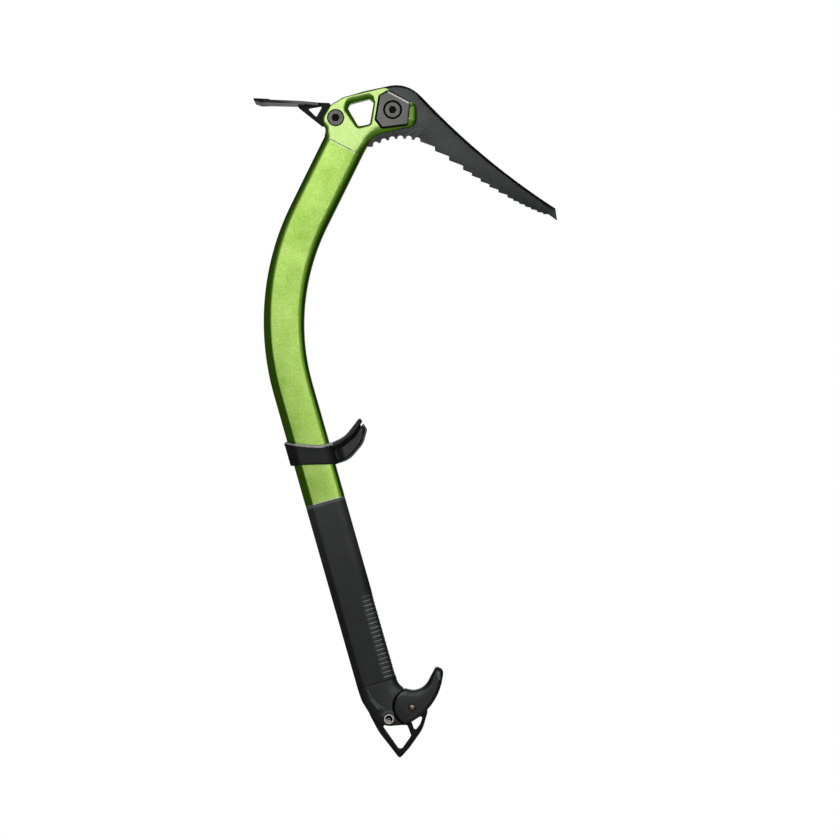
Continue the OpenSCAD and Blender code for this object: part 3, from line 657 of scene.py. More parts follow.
RIB_PITCH = 3.43
RIB_FIRST = -67.2
RIB_DEPTH = 0.5
RIB_PAIR = 2.9                # phase of the low rib after each high one
RIB_SHARP = 8
LOW_RIB = 0.6
GRIP_END_ROUND = 0.3
grip_shape = dense(section(LOWER_DEPTH - 0.02, HALF_THICK - 0.1, FACET, 2.4, 6.6), 0.6)
grip_out = way_out(grip_shape)
fore = grip_shape[:, 0]
levels = np.concatenate([[-GRIP_HALF + 0.02, -GRIP_HALF + 0.25], np.arange(-GRIP_HALF + 0.6, 2, 0.22),
                         np.arange(3, GRIP_HALF - 3, 2.5),
                         GRIP_HALF - np.array([2.4, 1.8, 1.2, 0.6, 0.25, 0.05])])
rings, painted_light = [], []
for z in levels:
    phase = 2 * math.pi * (z - RIB_FIRST) / RIB_PITCH
    crest, second = ((0.5 + 0.5 * math.cos(phase + lag)) ** RIB_SHARP for lag in (0, RIB_PAIR))
    ribbed = smooth(5.4, 8.2, fore) * smooth(-1.0, -12.0, z) * smooth(-69.2, -68.0, z)
    # Painted highlight on the rib crests, fading towards the belly.
    lit = ribbed * (0.2 + 0.8 * smooth(13.8, 11.6, fore))
    end = min(GRIP_HALF - abs(z), GRIP_END_ROUND)
    fall = GRIP_END_ROUND - math.sqrt(max(GRIP_END_ROUND ** 2 - (GRIP_END_ROUND - end) ** 2, 0))
    shape = grip_shape + grip_out * (RIB_DEPTH * (max(crest, LOW_RIB * second) - 1) * ribbed - fall)[:, None]
    rings.append(np.column_stack([shape, np.full(len(shape), z)]))
    # Painted highlights along the spine facet's edge and at the top rim, a little lighter towards the top and on
    # the upper belly.
    spine = smooth(1.1, 0.3, np.abs(fore + LOWER_DEPTH - FACET))
    upper = 0.2 * smooth(67.4, 68.6, z) + 0.03 * smooth(-10, 60, z)
    belly = 0.03 * smooth(5, 11, fore) * smooth(-10, 40, z)
    painted_light.append((0.85 * crest + 0.2 * second) * lit + 0.05 * spine + upper + belly)
points, faces = loft(rings)
grip = solid("grip_rubber", put(points, AT_GRIP), faces, 50)
mark(grip, np.concatenate(painted_light))
dress(grip, "tool", RUBBER, "black_rubber", "grip_sleeve")

# Head

NECK_UP = np.array([math.sin(HEAD_PITCH), math.cos(HEAD_PITCH)])
SEAM_FRONT = UPPER_DEPTH * np.array([math.cos(HEAD_PITCH), -math.sin(HEAD_PITCH)])
SEAM_GAP = 0.12 * NECK_UP
CRISP = 0.45
NECK_EDGE = 8.0
TINY = 0.02


def sharp_at(base, *spots):
    """Sharp corners of a cutter's outline, about a place."""
    return shifted([(x, z, 0, 0) for x, z in spots], base)


toward = unit(SEAM_FRONT)
front, rear = SEAM_FRONT + SEAM_GAP, SEAM_GAP - SEAM_FRONT
head_path = rounded(
    [(*(front - TINY * toward), 0, 0.3), (*front, 0, NECK_EDGE), (*(front + 17.2 * NECK_UP), 18, 5.6)]
    + shifted([(17.6, -11.9, 6, 6.4), (17.6, 3.1, 2.0, 6.0), (14.6, 4.8, 0, CRISP), (-5.4, 15.8, 4, CRISP)],
              PICK_BOLT)
    + shifted([(6.7, 14.8, 12, 0.8), (-3.5, 9, 7, 0.9), (-10.7, -1, 7, 1.8)], ADZE_BOLT)
    + shifted([(-0.9, 0.6, 5, 3.4)], 5 * NECK_UP - SEAM_FRONT)
    + [(*rear, 0, 5.6), (*(rear + TINY * toward), 0, 0.3)])
eye_path = rounded([(11.4, 14.8, 2, 2.0), (20, 16.4, 2, 1.5), (23, 33, 2, 1.2), (19.5, 35.9, 2, 3.0),
                    (5.1, 32.1, 2, 3.4), (3.4, 28.5, 2, 3.1)])
LOWERED = np.array([0.0, -0.8])     # the near face of the head stands lower in the photo than its middle
RAISED = np.array([0.0, 0.7])       # and that of the cap higher
screw_spot = PICK_BOLT + LOWERED
plate_path = rounded(shifted([(-3.4, 13.9, 1, 1.0), (-9.2, 10.5, 1, 0.4), (-12.1, -7, 1, 0.4),
                              (-7.5, -12.9, 1, 0.4), (11, -10.5, 1, 0.4), (12.8, 5.3, 1, 1.0)], screw_spot))


def head_drop(points, paths):
    """Round edges at the shaft's seam that become flat bevels higher up."""
    height = points @ NECK_UP
    edge = edge_drop(points, paths[:1], 2.0) * smooth(14, 1, height)
    edge = edge + edge_drop(points, paths[:1], 1.35, 0.58) * smooth(1, 14, height)
    return np.maximum(edge, edge_drop(points, paths[1:], 1.2))


head = slab("head_forging", AT_HEAD, [head_path, eye_path], HALF_THICK, head_drop, gap=0.8)
# The walls of the bolt holes, plate seat, open side and adze seats take painted shade; the plate seat is set off
# to the lower left so its dark gap is wider there.
HEAD_LAYERS = (PALE_GREEN, PAINTED_SHADE_BLACK)
layered(head, *HEAD_LAYERS)
PLATE_FLOOR = 6.4
PLATE_GAP = 0.95
SEAT_OFFSET = (-0.45, -0.35, 0)
plate_seat = grown(plate_path, PLATE_GAP) + SEAT_OFFSET
ADZE_SINK = 9.5
WIDE, THROUGH, OUTSIDE = 60, 20, 30     # how far cutters reach past the part
open_side = rounded(sharp_at(PICK_BOLT, (-3.6, 12.4), (12.2, 3.9), (30, 20), (5, 35)))
slot_path = rounded(sharp_at(PICK_BOLT, (-2.5, -WIDE), (WIDE, -WIDE), (WIDE, WIDE))
                    + sharp_at(ADZE_BOLT, (5.6, WIDE), (5.6, 13.7))
                    + sharp_at(PICK_BOLT, (-12.4, 10.6), (-15, -12)))
adze_slot = rounded(sharp_at(ADZE_BOLT, (-WIDE, -7.4), (6, -7.4), (6, 7.4), (-2, 9), (-2, 30), (-WIDE, 30)))
cutters = [prism(slot_path, -2.1, 2.1, AT_HEAD), prism(adze_slot, -4.1, 4.1, AT_HEAD)]
cutters += [prism(circle(spot, radius), -THROUGH, THROUGH, AT_HEAD, HEAD_LAYERS)
            for spot, radius in ((PICK_BOLT, 4.05), (ADZE_BOLT, 3.55))]
for low, high in ((-OUTSIDE, -PLATE_FLOOR), (PLATE_FLOOR, OUTSIDE)):
    cutters += [prism(outline, low, high, AT_HEAD, HEAD_LAYERS) for outline in (plate_seat, open_side)]
adze_seat = circle(ADZE_BOLT + LOWERED, 6.45)
for low, high in ((-OUTSIDE, -ADZE_SINK), (ADZE_SINK, OUTSIDE)):
    cutters.append(prism(adze_seat, low, high, AT_HEAD, HEAD_LAYERS))
carve(head, cutters)
dress(head, "tool", PALE_GREEN, "green_aluminium", "head")

# Pick, clamp plates, screws, spike and pins: the CAD forms with broken edges

PICK_SCREW = ("pick_bolt", "pick_nut")
ADZE_SCREW = ("adze_bolt", "adze_nut")
SOCKET_REACH = 2.95
SOCKET_RIM = 0.45
SOCKET_GROWTH = 1.3
SCREW_GROWTH = 1.05
TANG_SHIFT = np.array([-2.0, -1.7])
BACK_START = 42.0             # where the pick's ground back begins
WALL, BEVEL, FLAT = 0.35, 0.95, 0.99        # how squarely such faces look across the tool
MAIN_LAYER, SHADED_BEVEL_LAYER, SHEEN_LAYER, PAINTED_SHADE_LAYER = range(4)


def layer_of(node, face, centre, deepest):
    """Material layer of a face: painted shade on the pick's ground back and its edge face, on the screws' side
    walls and in the sockets, and a painted highlight where the ground back meets the flat face.
    """
    spot, facing = np.array(face.center) / MM, abs(face.normal.y)
    around = math.hypot(*(spot[[0, 2]] - centre))
    if node == "pick" and face.normal.x > 0.1 and face.normal.z > 0.1 and spot[0] > BACK_START:
        steps = ((WALL, PAINTED_SHADE_LAYER), (BEVEL, SHADED_BEVEL_LAYER), (FLAT, SHEEN_LAYER))
        return next((layer for limit, layer in steps if facing < limit), MAIN_LAYER)
    if node in PICK_SCREW and around > SOCKET_REACH and facing < WALL:
        return PAINTED_SHADE_LAYER
    if node in PICK_SCREW + ADZE_SCREW and around < SOCKET_REACH and abs(spot[1]) < deepest:
        return PAINTED_SHADE_LAYER
    return face.material_index


def shift_of(node, spot, centre):
    """How far a point moves for the photo's perspective and for the sockets' size in it."""
    if node in PICK_SCREW:
        return LOWERED + (spot - centre) * (SCREW_GROWTH - 1)
    if node in ADZE_SCREW:
        socket = math.hypot(*(spot - centre)) < SOCKET_REACH
        return LOWERED + (spot - centre) * (SOCKET_GROWTH - 1) * socket
    tang_end = node == "pick" and spot[0] - SEAM[0] < 3 and spot[1] - SEAM[1] > 36
    return TANG_SHIFT * tang_end


looks = {}
for node, bevel, material, edge, slot in (
        ("pick", 0.3, PICK, PICK_SHADED_BEVEL, "pick_steel"),
        *((screw, 0.4, STEEL, RUBBED_AND_SHEEN_STEEL, "bare_steel") for screw in PICK_SCREW),
        *((screw, 0.35, STEEL, RUBBED_AND_SHEEN_STEEL, "bare_steel") for screw in ADZE_SCREW),
        ("spike", 0.25, BLACK, BLACK, "black_steel"), ("spike_nut", 0.12, BRASS, BRASS, "brass")):
    piece = looks[node] = dressed(node, bevel, 20.0 if node == "pick" else 28.0)
    layered(piece, material, edge, RUBBED_AND_SHEEN_STEEL, PAINTED_SHADE_BLACK)
    centre, deepest = middle(node), max(abs(v.co.y) for v in piece.data.vertices) / MM - SOCKET_RIM
    for face in piece.data.polygons:
        face.material_index = layer_of(node, face, centre, deepest)
    for point in piece.data.vertices:
        shift = shift_of(node, np.array(point.co)[[0, 2]] / MM, centre) * MM
        point.co.x += shift[0]
        point.co.z += shift[1]
    # Painted shade: the pick grows darker towards its tip.
    if node == "pick":
        mark(piece, [0.75 * smooth(30, 165, point.co.x / MM) for point in piece.data.vertices])
    dress(piece, "tool", material, slot, node)
PLATE_MIDDLE = 8.9
PLATE_HALF = 2.5
SEAT_FLOOR = 8.0
SEAT_RADIUS = 7.1
PLATE_LAYERS = (STEEL, SILVER_AND_GLINT, PAINTED_SHADE_BLACK)
for node, side in (("pick_plate_near", -1), ("pick_plate_far", 1)):
    plate = slab(node + "_look", AT_HEAD, [plate_path], PLATE_HALF,
                 lambda p, paths: edge_drop(p, paths, 1.2, 0.3), gap=0.8, sharp=12, shift=side * PLATE_MIDDLE)
    layered(plate, *PLATE_LAYERS)
    # Painted highlight: bevel faces turned up and to the right take bright steel.
    for face in plate.data.polygons:
        lit = face.normal.x > 0.03 and face.normal.z > 0.05 and 0.6 < abs(face.normal.y) < 0.998
        face.material_index = 1 if lit else 0
    # The walls of the plate's hole and seat take painted shade.
    low, high = sorted((side * SEAT_FLOOR, side * OUTSIDE))
    carve(plate, [prism(circle(screw_spot, 3.6), -THROUGH, THROUGH, AT_HEAD, PLATE_LAYERS),
                  prism(circle(screw_spot, SEAT_RADIUS), low, high, AT_HEAD, PLATE_LAYERS)], sharp=12)
    dress(plate, "tool", STEEL, "bare_steel", node)

# Web of the spike that closes the view through the hook's seam
web = rounded(arc((0, 0), 15.4, 134, 232, 22, 0) + arc((0, 0), 12.6, 232, 146, 20, 0)
              + arc((0, 0), 13.8, 146, 134, 4, 0))
carve(looks["spike"], [prism(web, -1.9, 1.9, AT_POMMEL)], "UNION", 32)

PIN_END = [(0.02, -8.75), (0.9, -8.7), (1.5, -8.5), (1.7, -8.25), (2.2, -7.9)]
pin = lathe("hook_pin_look", HINGE, PIN_END + [(radius, -y) for radius, y in PIN_END[::-1]])
dress(pin, "hook", BRASS, "brass", "hook_pin")
EYELET_SPOT = HINGE + EYELET + RAISED
SOCKET_BOWL = [(0.02, -8.1), (0.4, -8.05), (0.52, -7.7), (1.0, -7.6), (1.15, -7.75), (2.15, -9.3),
               (2.35, -9.5)]
BOLT_HEAD = [(2.5, -9.4), (2.55, -8.7), (2.7, -8.6), (2.7, -8.2), (1.9, -8.2), (1.9, 8)]
eyelet_bolt = lathe("spike_bolt_look", EYELET_SPOT, SOCKET_BOWL + BOLT_HEAD)
BUSH_PROFILE = [(2.75, 5.0), (2.75, 10.6), (2.84, 10.95), (3.0, 11.18), (3.24, 11.3), (3.48, 11.18),
                (3.64, 10.95), (3.72, 10.6), (3.72, 5.0)]
bushes = lathe("spike_bushes_look", EYELET_SPOT, BUSH_PROFILE, closed=True)
near_bush = lathe("cutter", EYELET_SPOT, [(radius, -y) for radius, y in BUSH_PROFILE], closed=True)
carve(bushes, [near_bush], "UNION", 30)
dress(bushes, "tool", SILVER_AND_GLINT, "bare_steel", "spike_bushes")
PAINTED_LIGHT_WAY = np.array([-0.42, -0.91])     # the side of the socket's bowl that takes a painted highlight in copper; the rest takes painted shade
layered(eyelet_bolt, COPPER, PAINTED_SHADE_BLACK)
# Painted highlight in copper on the lower side of the bowl and at its middle, painted shade on the rest.
for face in eyelet_bolt.data.polygons:
    off = np.array(face.center)[[0, 2]] / MM - EYELET_SPOT
    around = math.hypot(*off)
    painted_lit = 1.1 < around < 2.3 and off @ PAINTED_LIGHT_WAY > 0.35 * around
    face.material_index = 0 if around < 0.5 or painted_lit else 1
dress(eyelet_bolt, "tool", COPPER, "brass", "spike_bolt")

# Adze

TANG_HALF = 4.0
BLADE_REAR = ADZE_BOLT + (-3, 10.8)
BLADE_LENGTH = 57.6
BLADE_THICK = 2.4
BLADE_SLOPE = math.radians(1.6)
TIP_STEP = 0.6
EDGE_HALF = 19.6
BRACE_LOW = ADZE_BOLT + (-10.2, -6.5)
BRACE_REACH = 4.6             # faces further out than this are the blade's own
adze_path = rounded(
    shifted([(-1, -1.2, 0.5, 0.7), (-25.5, 0, 0, 0.7), (-25.5, -1.7, 0, 0.7)], BLADE_REAR)
    + shifted([(-17.4, 13.7, 3, 0.9), (0, 0, 1.5, 0.9)], BRACE_LOW)
    + shifted([(0, -6, 0, 0.7), (5, 0, 0, 0.7), (-0.5, 6, 0, 0.7)], ADZE_BOLT))
brace_hole = rounded(shifted([(-21.1, 6.8, 0.8, 0.7), (-14.5, 0.2, 0.8, 0.7), (-9.9, 8.6, 0.8, 0.7)],
                             ADZE_BOLT))
adze = slab("adze_blade", AT_HEAD, [adze_path, brace_hole, circle(ADZE_BOLT, 3.6)], TANG_HALF,
            lambda p, paths: edge_drop(p, paths, 1.6))

half_plan = [(-1.4, TANG_HALF - 0.3, 0, 0.5), (-9, TANG_HALF - 0.3, 6, 0.5), (-22, 14.4, 14, 0.6),
             (-BLADE_LENGTH + 8, 17.6, 10, 0.6), (-BLADE_LENGTH, EDGE_HALF, 1.5, 0.3)]
plan = rounded(half_plan + [(x, -y, radius, edge) for x, y, radius, edge in half_plan[::-1]])
plan = dense(plan if area(plan) > 0 else plan[::-1], 0.8)
flat, tris, rims = net([plan], (), 1.2)
fall = edge_drop(flat, [plan], 2.0)
from_tip = flat[:, 0] + BLADE_LENGTH
under = np.interp(from_tip, [0, 0.9, 5.6, 12, BLADE_LENGTH],
                  [-0.8, -1.2, -BLADE_THICK, -BLADE_THICK + 0.4, -BLADE_THICK])
above = TIP_STEP * smooth(13, 10.5, from_tip)
blade = np.concatenate([np.column_stack([flat, above - fall]),
                        np.column_stack([flat, np.minimum(under + fall, -fall - 0.05)])])
AT_BLADE = (SEAM + BLADE_REAR, np.array([math.cos(BLADE_SLOPE), -math.sin(BLADE_SLOPE)]))
carve(adze, [solid("cutter", put(blade, AT_BLADE), shell_faces(tris, rims, len(flat)))], "UNION")
layered(adze, BLACK, BLADE_REFLECTION)
# The blade's underside and flanks take a grey painted reflection.
for face in adze.data.polygons:
    along, across = face.center.x / MM - (SEAM + BLADE_REAR)[0], abs(face.center.y) / MM
    underside = face.normal.z < -0.75 and -51 < along < -20
    flank = abs(face.normal.y) > 0.3 and -50 < along < -5 and across > BRACE_REACH
    face.material_index = 1 if underside or flank else face.material_index
along = local(adze, AT_HEAD)[0][:, 0] - BLADE_REAR[0]
# Painted reflection on the blade, strongest near its root and faint towards the tip.
mark(adze, (0.03 + 0.55 * smooth(-46, -20, along) ** 2) * smooth(-5, -9, along))
dress(adze, "tool", BLACK, "black_steel", "adze")

# Trigger

STRAP_GAP = 0.3
STRAP_OUT = 2.5
STRAP_REACH = 17              # outside of the strap from the shaft's middle
LIP_SLOPE = math.tan(math.radians(19.5))
FOOT_SLOPE = math.tan(math.radians(14.5))
HORN_HALF = 7.5


def lip_height(x):
    """Height of the strap's upper edge, which runs out into the finger strip."""
    level = 7.7 - x * LIP_SLOPE - 1.2 * (1 - (x / STRAP_REACH) ** 2)
    return level + 0.4 * smooth(0, -STRAP_REACH, x) + 1.7 * smooth(7, STRAP_REACH, x)


def foot_height(x):
    """Height of the strap's lower edge."""
    return -9.35 - x * FOOT_SLOPE + 0.5 * (1 - (x / STRAP_REACH) ** 2)


strap_shape = dense(section(LOWER_DEPTH, HALF_THICK, FACET, 1.2, 6.6), 0.9)
strap_out = way_out(strap_shape)
strap_high, strap_low = (height(strap_shape[:, 0]) for height in (lip_height, foot_height))
# Way round the strap's section: distance from the shaft, share of the height, and a shift up
STRAP_FOOT = [(STRAP_GAP, 0, 0.1), (1.5, 0, 0.0), (2.1, 0, 0.25), (2.4, 0, 0.7), (STRAP_OUT, 0, 1.4)]
STRAP_LIP = [(STRAP_OUT, 1, -3.0), (2.62, 1, -2.3), (2.72, 1, -1.7), (2.6, 1, -1.15), (2.2, 1, -0.6),
             (1.6, 1, -0.15), (0.9, 1, 0.0), (STRAP_GAP, 1, -0.2)]
rings = []
for offset, share, shift in STRAP_FOOT + [(STRAP_OUT, 0.5, 0)] + STRAP_LIP:
    spot = strap_shape + strap_out * offset
    rings.append(np.column_stack([spot, strap_low + (strap_high - strap_low) * share + shift]))
points, faces = loft(rings, closed=True)
strap = solid("trigger_band", put(points, AT_TRIGGER), faces, 45)
strip_root = LOWER_DEPTH - 1.0
strip_path = rounded([(strip_root, -0.6, 0, 0.8), (23, 0.6, 14, 0.8), (34.2, 5, 14, 0.8),
                      (42.9, 12.1, 1, 0.8), (42, 15.7, 1.2, 0.8), (35.6, 11, 20, 1.2), (27.3, 5, 20, 1.2),
                      (strip_root, 3.0, 0, 1.2)])
carve(strap, [slab("cutter", AT_TRIGGER, [strip_path], HORN_HALF, edge_drop, gap=0.7)], "UNION", 45)
flat, across = local(strap, AT_TRIGGER)
strip_line = strip_path[np.argmax(strip_path[:, 1]):]
strip_line = np.concatenate([strip_line, strip_line[::-1]])
strap_loop = np.column_stack([strap_shape, np.zeros(len(strap_shape))])
outward = nearest_edge(np.column_stack([flat[:, 0], across]), strap_loop)[0]
# Painted highlights along the strap's upper lip and the finger strip's crest.
lip = smooth(-2.4, -1.4, flat[:, 1] - lip_height(flat[:, 0])) * smooth(1.3, 2.2, outward)
crest = smooth(1.5, 0.7, nearest_edge(flat, strip_line)[0]) * smooth(42, 24, flat[:, 0])
mark(strap, np.where(flat[:, 0] < STRAP_REACH, lip, 0.2 * crest))
dress(strap, "trigger", STRAP, "black_rubber", "trigger_strap")

STRAP_EDGE = LOWER_DEPTH + STRAP_OUT + 0.05
horn_path = rounded([(STRAP_EDGE, -13, 0, 0.6), (26, -12.6, 16, 0.6), (39, -4, 16, 0.6), (44.8, 5.6, 3, 0.6),
                     (43.1, 10.8, 0.6, 0.7), (35.2, 2.4, 14, 0.7), (24, -2.1, 14, 0.7),
                     (STRAP_EDGE, -3.0, 0, 0.7)])
horn_line = horn_path[:np.argmax(horn_path[:, 1])]
horn_line = np.concatenate([horn_line, horn_line[::-1]])
CORE_HALF = 4.0
RIM_GROOVE = 1.2
PANEL_SINK = 0.4
ROOT_SINK = 2.6


def horn_drop(points, paths):
    """Rim along the outer edge, a groove inside it and a panel that lies a little lower."""
    from_rim = nearest_edge(points, horn_line)[0]
    groove = RIM_GROOVE * smooth(0.9, 1.5, from_rim) * smooth(2.5, 1.9, from_rim)
    sunk = PANEL_SINK * smooth(0.7, 2.2, from_rim) + ROOT_SINK * smooth(24, 17.5, points[:, 0])
    return np.maximum(edge_drop(points, paths, 2.0), groove + sunk)


horn = slab("trigger_horn_shell", AT_TRIGGER, [horn_path], HORN_HALF, horn_drop, gap=0.3)
core_path = rounded([(STRAP_EDGE, -4, 0, 0.2), (23, -3, 0, 0.2), (34.4, 1.4, 0, 0.2), (41.4, 8.6, 0, 0.2),
                     (40.7, 10.5, 0, 0.2), (34.1, 5.15, 14, 0.2), (23, 0.85, 14, 0.2),
                     (STRAP_EDGE, 0.1, 0, 0.2)])
core = slab("cutter", AT_TRIGGER, [core_path], CORE_HALF, lambda p, paths: edge_drop(p, paths, 1.5))
carve(horn, [core], "UNION")
# Painted highlight along the outer rim.
from_rim = nearest_edge(local(horn, AT_TRIGGER)[0], horn_line)[0]
mark(horn, 0.7 * smooth(1.2, 0.9, from_rim) * smooth(0.3, 0.5, from_rim))
# Painted shade: the core between the strip and the horn is black.
layered(horn, NYLON, PAINTED_SHADE_BLACK)
for face in horn.data.polygons:
    face.material_index = 1 if abs(face.center.y) < (CORE_HALF + 0.2) * MM else 0
dress(horn, "trigger", NYLON, "black_nylon", "trigger_horn")

# End cap

SEAT = 14.4
BEAD_WIDTH = 0.5
BEAD_RISE = 0.2
BOSS_RADIUS = 5.6
CAP_NOSE = (-13.1, 12.4)
HINGE_LEAN = (20.5, -24.3)    # the hinge in the cap's frame
cap_path = rounded(
    [(-LOWER_DEPTH + TINY, -0.12, 0, 0.35), (-LOWER_DEPTH, -0.12, 0, FACET),
     (-LOWER_DEPTH + 0.4, -10, 12, 6.6), (-10.3, -25.5, 12, 8.6), (-1.2, -33.3, 12, 5.0), (8, -34.8, 4, 2.2)]
    + arc(HINGE_LEAN, SEAT, 228, 100, 24, 0.7)
    + [(LOWER_DEPTH - 0.2, -4.6, 9, 3.2), (LOWER_DEPTH, -1, 0, 4), (LOWER_DEPTH, -0.12, 0, 4),
       (LOWER_DEPTH - TINY, -0.12, 0, 0.35)])


def on_cap(spot):
    """Place in the cap's frame of a spot in the pommel's."""
    return np.array(HINGE_LEAN) + np.array([[FORE[0], FORE[1]], [-FORE[1], FORE[0]]]) @ spot


eyelet_cap = on_cap(EYELET + RAISED)


def cap_drop(points, paths):
    """Round edges, on sides that fall away from the middle as on the grip."""
    crown = HALF_THICK * CROWN * np.clip(points[:, 0] / LOWER_DEPTH, -1, 1) ** 2
    return np.maximum(edge_drop(points, paths[:1], 1.5) + crown, edge_drop(points, paths[1:], 1.5))


eyelet_hole = circle(eyelet_cap, 3.78, 0.6)
cap = slab("end_cap_shell", AT_CAP, [cap_path, eyelet_hole], HALF_THICK, cap_drop, gap=0.7)
bead = np.array([(-7.9, -3.1), (-7.1, -7.0), (-5.9, -10.3), (-4.4, -13.4), (-2.3, -16.8), (1.0, -20.0)])
beside = np.column_stack([np.gradient(bead[:, 1]), -np.gradient(bead[:, 0])])
beside = unit_rows(beside) * BEAD_WIDTH / 2
bead_path = np.concatenate([bead + beside, (bead - beside)[::-1]])
for low, high in ((-HALF_THICK - BEAD_RISE, -HALF_THICK + 1), (HALF_THICK - 1, HALF_THICK + BEAD_RISE)):
    carve(cap, [prism(bead_path, low, high, AT_CAP)], "UNION")
flat, across = local(cap, AT_CAP)
gap, width = nearest_edge(flat, cap_path)
# Painted highlights: on the bead, along the spine's shoulder, in a ring round the eyelet and at the nose.
on_bead = np.abs(across) > HALF_THICK + BEAD_RISE / 2
shoulder = smooth(1.3, 0.3, np.abs(gap - width)) * smooth(4.6, 5.6, width) * smooth(-7, -13, flat[:, 1])
around, bearing = polar(flat - eyelet_cap)
boss = smooth(1.3, 0.3, np.abs(around - BOSS_RADIUS)) * smooth(5, 30, bearing) * smooth(150, 120, bearing)
nose = smooth(5.5, 1.5, polar(flat - on_cap(CAP_NOSE))[0])
shine = np.max([0.45 * shoulder, 0.3 * boss, 0.17 * nose], axis=0)
mark(cap, np.where(on_bead, 0.6, shine * (np.abs(across) > 5)))
dress(cap, "tool", NYLON, "black_nylon", "end_cap")

# Hook

HOOK_HALF = 9.0
HOOK_DOME = 1.0
HOOK_DOME_REACH = 8.0
PIN_SINK = 0.8
PIN_RECESS = (3.15, 2.85)
hook_path = rounded([(-4.9, -13.3, 1.2, 1.4), (19.4, -2.5, 44, 3.4), (23.5, 27, 3.6, 3.2),
                     (17.8, 29.7, 1.8, 1.8), (7.5, 10.3, 13, 3.4), (-5.4, 13.0, 0.3, 1.6)]
                    + arc((0, 0), 13.6, 118, 241, 24, 0.8))
pin_hole = circle((0, 0), 2.25, 0.1)


def hook_drop(points, paths):
    """Round edges on a low dome, and a recess round the pin."""
    recess = PIN_SINK * smooth(*PIN_RECESS, polar(points)[0])
    from_edge = nearest_edge(points, paths[0])[0]
    dome = HOOK_DOME * (1 - np.clip(from_edge / HOOK_DOME_REACH, 0, 1)) ** 2
    return np.maximum(edge_drop(points, paths[:1], 1.6, 0.8) + dome, recess)


recess_lines = [circle((0, 0), radius) for radius in PIN_RECESS[::-1]]
hook = slab("hook_shell", AT_POMMEL, [hook_path, pin_hole], HOOK_HALF, hook_drop, recess_lines, 0.7)
EAR_SLOT = 2.2
slot_fan = rounded([(0, 0, 0, 0)] + arc((0, 0), 40, 102, 370, 30, 0))
carve(hook, [prism(outline, -EAR_SLOT, EAR_SLOT, AT_POMMEL) for outline in (slot_fan, circle((0, 0), 8.6))])
flat, across = local(hook, AT_POMMEL)
gap, width = nearest_edge(flat, hook_path)
# Painted highlights along the rim, near the tip, at the heel by the seam and on a crest above the pin.
rim_line = smooth(0.35, 0.1, np.abs(gap - width)) * (width > 2.2)
dent_line = np.array([(19.5, 25.8, 0), (20.3, 21.1, 0)])
dent = smooth(1.5, 0.5, nearest_edge(flat, dent_line)[0])
around, bearing = polar(flat)
heel = smooth(0.7, 0.2, np.abs(around - 12.8)) * smooth(112, 120, bearing) * smooth(158, 136, bearing)
above_pin = smooth(-9, -5, flat[:, 0]) * smooth(13, 5, flat[:, 0]) * (flat[:, 1] > 4)
crest = smooth(1.6, 0.6, np.abs(gap - 2.0)) * above_pin
shine = np.max([0.15 * rim_line, 0.6 * dent, heel, 0.33 * crest], axis=0)
mark(hook, shine * (np.abs(across) > 3))
dress(hook, "hook", NYLON, "black_nylon", "pommel_hook")

for slot in frame["nodes"]["cap_pin"].material_slots:
    slot.material = STEEL

# Camera and stage

scene = bpy.context.scene
scene.view_settings.view_transform = "Standard"


def placed(name, data, place=(0, 0, 0)):
    added = bpy.data.objects.new(name, data)
    added.location = place
    scene.collection.objects.link(added)
    return added


camera = placed("camera", bpy.data.cameras.new("camera"), (0.0514, -2.6, 0.1282))
camera.rotation_euler = (math.radians(90), 0, 0)
camera.data.sensor_width = 36
camera.data.lens = 149.5
scene.camera = camera


def lamp(name, place, size, power):
    """Soft square lamp that no surface mirrors."""
    light = bpy.data.lights.new(name, "AREA")
    light.shape, light.size, light.energy = "SQUARE", size, power
    holder = placed(name, light, place)
    holder.rotation_euler = (AIM - Vector(place)).to_track_quat("-Z", "Y").to_euler()
    holder.visible_camera = holder.visible_glossy = False


AIM = Vector((0.03, 0, 0.14))
lamp("soft_left", (-1.5, -2.3, 0.9), 1.0, 15)
lamp("soft_right", (1.6, -2.3, 0.9), 1.0, 15)
lamp("soft_top", (0.1, -0.3, 2.2), 1.2, 14)
lamp("soft_back", (0.2, 2.3, 1.0), 1.2, 16)
SQUARE = ((-1, -1), (1, -1), (1, 1), (-1, 1))


def panel(name, place, half, strength):
    """Glowing screen that metal mirrors, brightest at its middle."""
    mesh = bpy.data.meshes.new(name)
    mesh.from_pydata([(x * half, 0, z * half) for x, z in SQUARE], [], [(0, 1, 2, 3)])
    screen = placed(name, mesh, place)
    material, tree = blank(name)
    tree.nodes.remove(tree.nodes["Principled BSDF"])
    spot = ink(tree, "ShaderNodeTexCoord").outputs["Object"]
    away = ink(tree, "ShaderNodeVectorMath", {"operation": "LENGTH"}, Vector=spot).outputs["Value"]
    fade = ink(tree, "ShaderNodeMapRange", {"interpolation_type": "SMOOTHSTEP", "From Min": 0.0,
                                            "From Max": half, "To Min": strength, "To Max": 0.0}, Value=away)
    light = ink(tree, "ShaderNodeEmission", Strength=fade.outputs["Result"])
    clear = ink(tree, "ShaderNodeBsdfTransparent")
    surface(tree, "ShaderNodeAddShader", light.outputs[0], clear.outputs[0])
    mesh.materials.append(material)
    screen.visible_camera = screen.visible_diffuse = screen.visible_shadow = False
    screen.visible_transmission = False


panel("panel_front", (-0.22, -1.3, 0.64), 0.8, 2.15)
panel("panel_back", (-0.1, 1.3, 0.5), 0.6, 1.2)
panel("panel_side", (0.52, -1.5, 0.12), 0.36, 4.4)
panel("panel_right", (1.2, -0.75, 0.3), 0.6, 1.3)

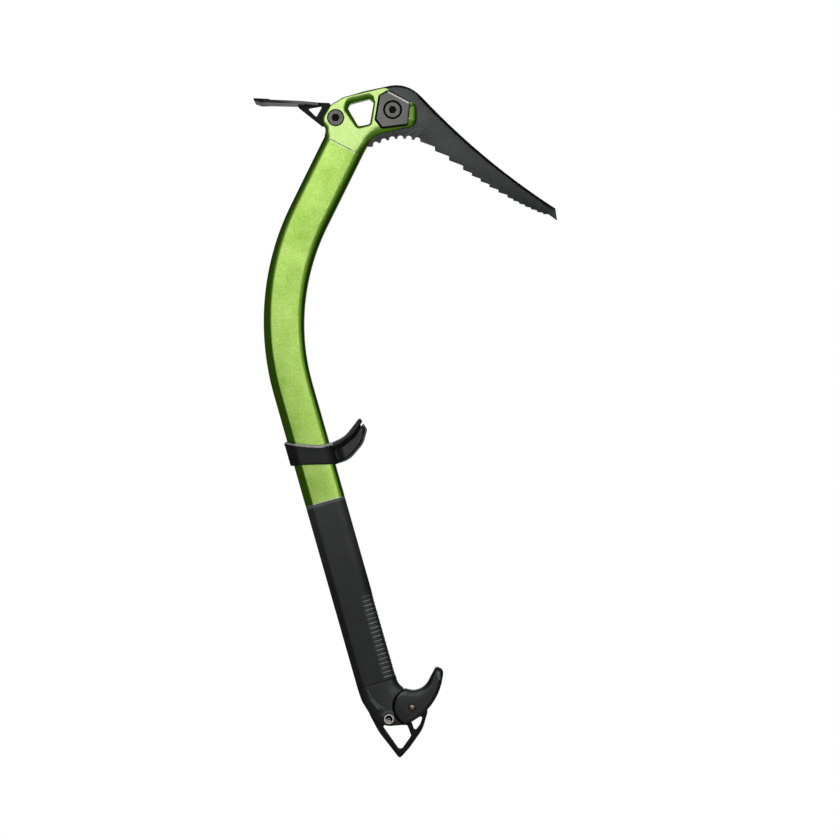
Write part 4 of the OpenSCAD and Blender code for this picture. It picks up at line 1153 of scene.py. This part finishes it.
world = bpy.data.worlds.new("studio")
scene.world = world
world.use_nodes = True
tree = world.node_tree
background = tree.nodes["Background"]
ray = ink(tree, "ShaderNodeLightPath").outputs
way = ink(tree, "ShaderNodeTexCoord").outputs["Generated"]
axes = ink(tree, "ShaderNodeSeparateXYZ", Vector=way).outputs
# What metal sees round it: an axis, the brightness at two places along it, and those places
SURROUND = (("Y", 0.31, 0.012, -1.0, -0.15), ("Y", 0.0, 0.3, 0.8, 1.0), ("Z", 0.0, 0.06, 0.5, 0.9),
            ("Z", 0.2, 0.0, -0.9, -0.4), ("X", 0.07, 0.0, -1.0, -0.75))
shown, *others = (spread(tree, axes[axis], *ends) for axis, *ends in SURROUND)
for part in others:
    shown = sum_of(tree, "ADD", shown, part)
ROOM_LIGHT = 0.4
level = mixed(tree, ray["Is Glossy Ray"], ROOM_LIGHT, shown, "FLOAT")
for kind in ("Is Transmission Ray", "Is Camera Ray"):
    level = mixed(tree, ray[kind], level, 1.0, "FLOAT")
tree.links.new(level, background.inputs["Strength"])
background.inputs["Color"].default_value = (1, 1, 1, 1)

FLOOR_Z = -0.37
FLOOR_HALF = 8.0
floor_mesh = bpy.data.meshes.new("floor")
floor_mesh.from_pydata([(x * FLOOR_HALF, y * FLOOR_HALF, FLOOR_Z) for x, y in SQUARE], [], [(0, 1, 2, 3)])
floor = placed("floor", floor_mesh)
paper, tree = blank("paper")
base = tree.nodes["Principled BSDF"]
base.inputs["Base Color"].default_value = (0.93, 0.93, 0.93, 1)
base.inputs["Roughness"].default_value = 0.9
base.inputs["Specular IOR Level"].default_value = 0.0
glow = ink(tree, "ShaderNodeEmission", {"Strength": 1.0})
ray = ink(tree, "ShaderNodeLightPath").outputs
spot = ink(tree, "ShaderNodeTexCoord").outputs["Object"]
away = ink(tree, "ShaderNodeVectorMath", {"operation": "DISTANCE", 1: (0, 0, FLOOR_Z)})
tree.links.new(spot, away.inputs[0])
whiter = spread(tree, away.outputs["Value"], 0.7, 1.0, 0.3, 1.3)
share = sum_of(tree, "MULTIPLY", ray["Is Camera Ray"], whiter)
surface(tree, "ShaderNodeMixShader", share, base.outputs[0], glow.outputs[0])
floor_mesh.materials.append(paper)
floor.visible_glossy = False
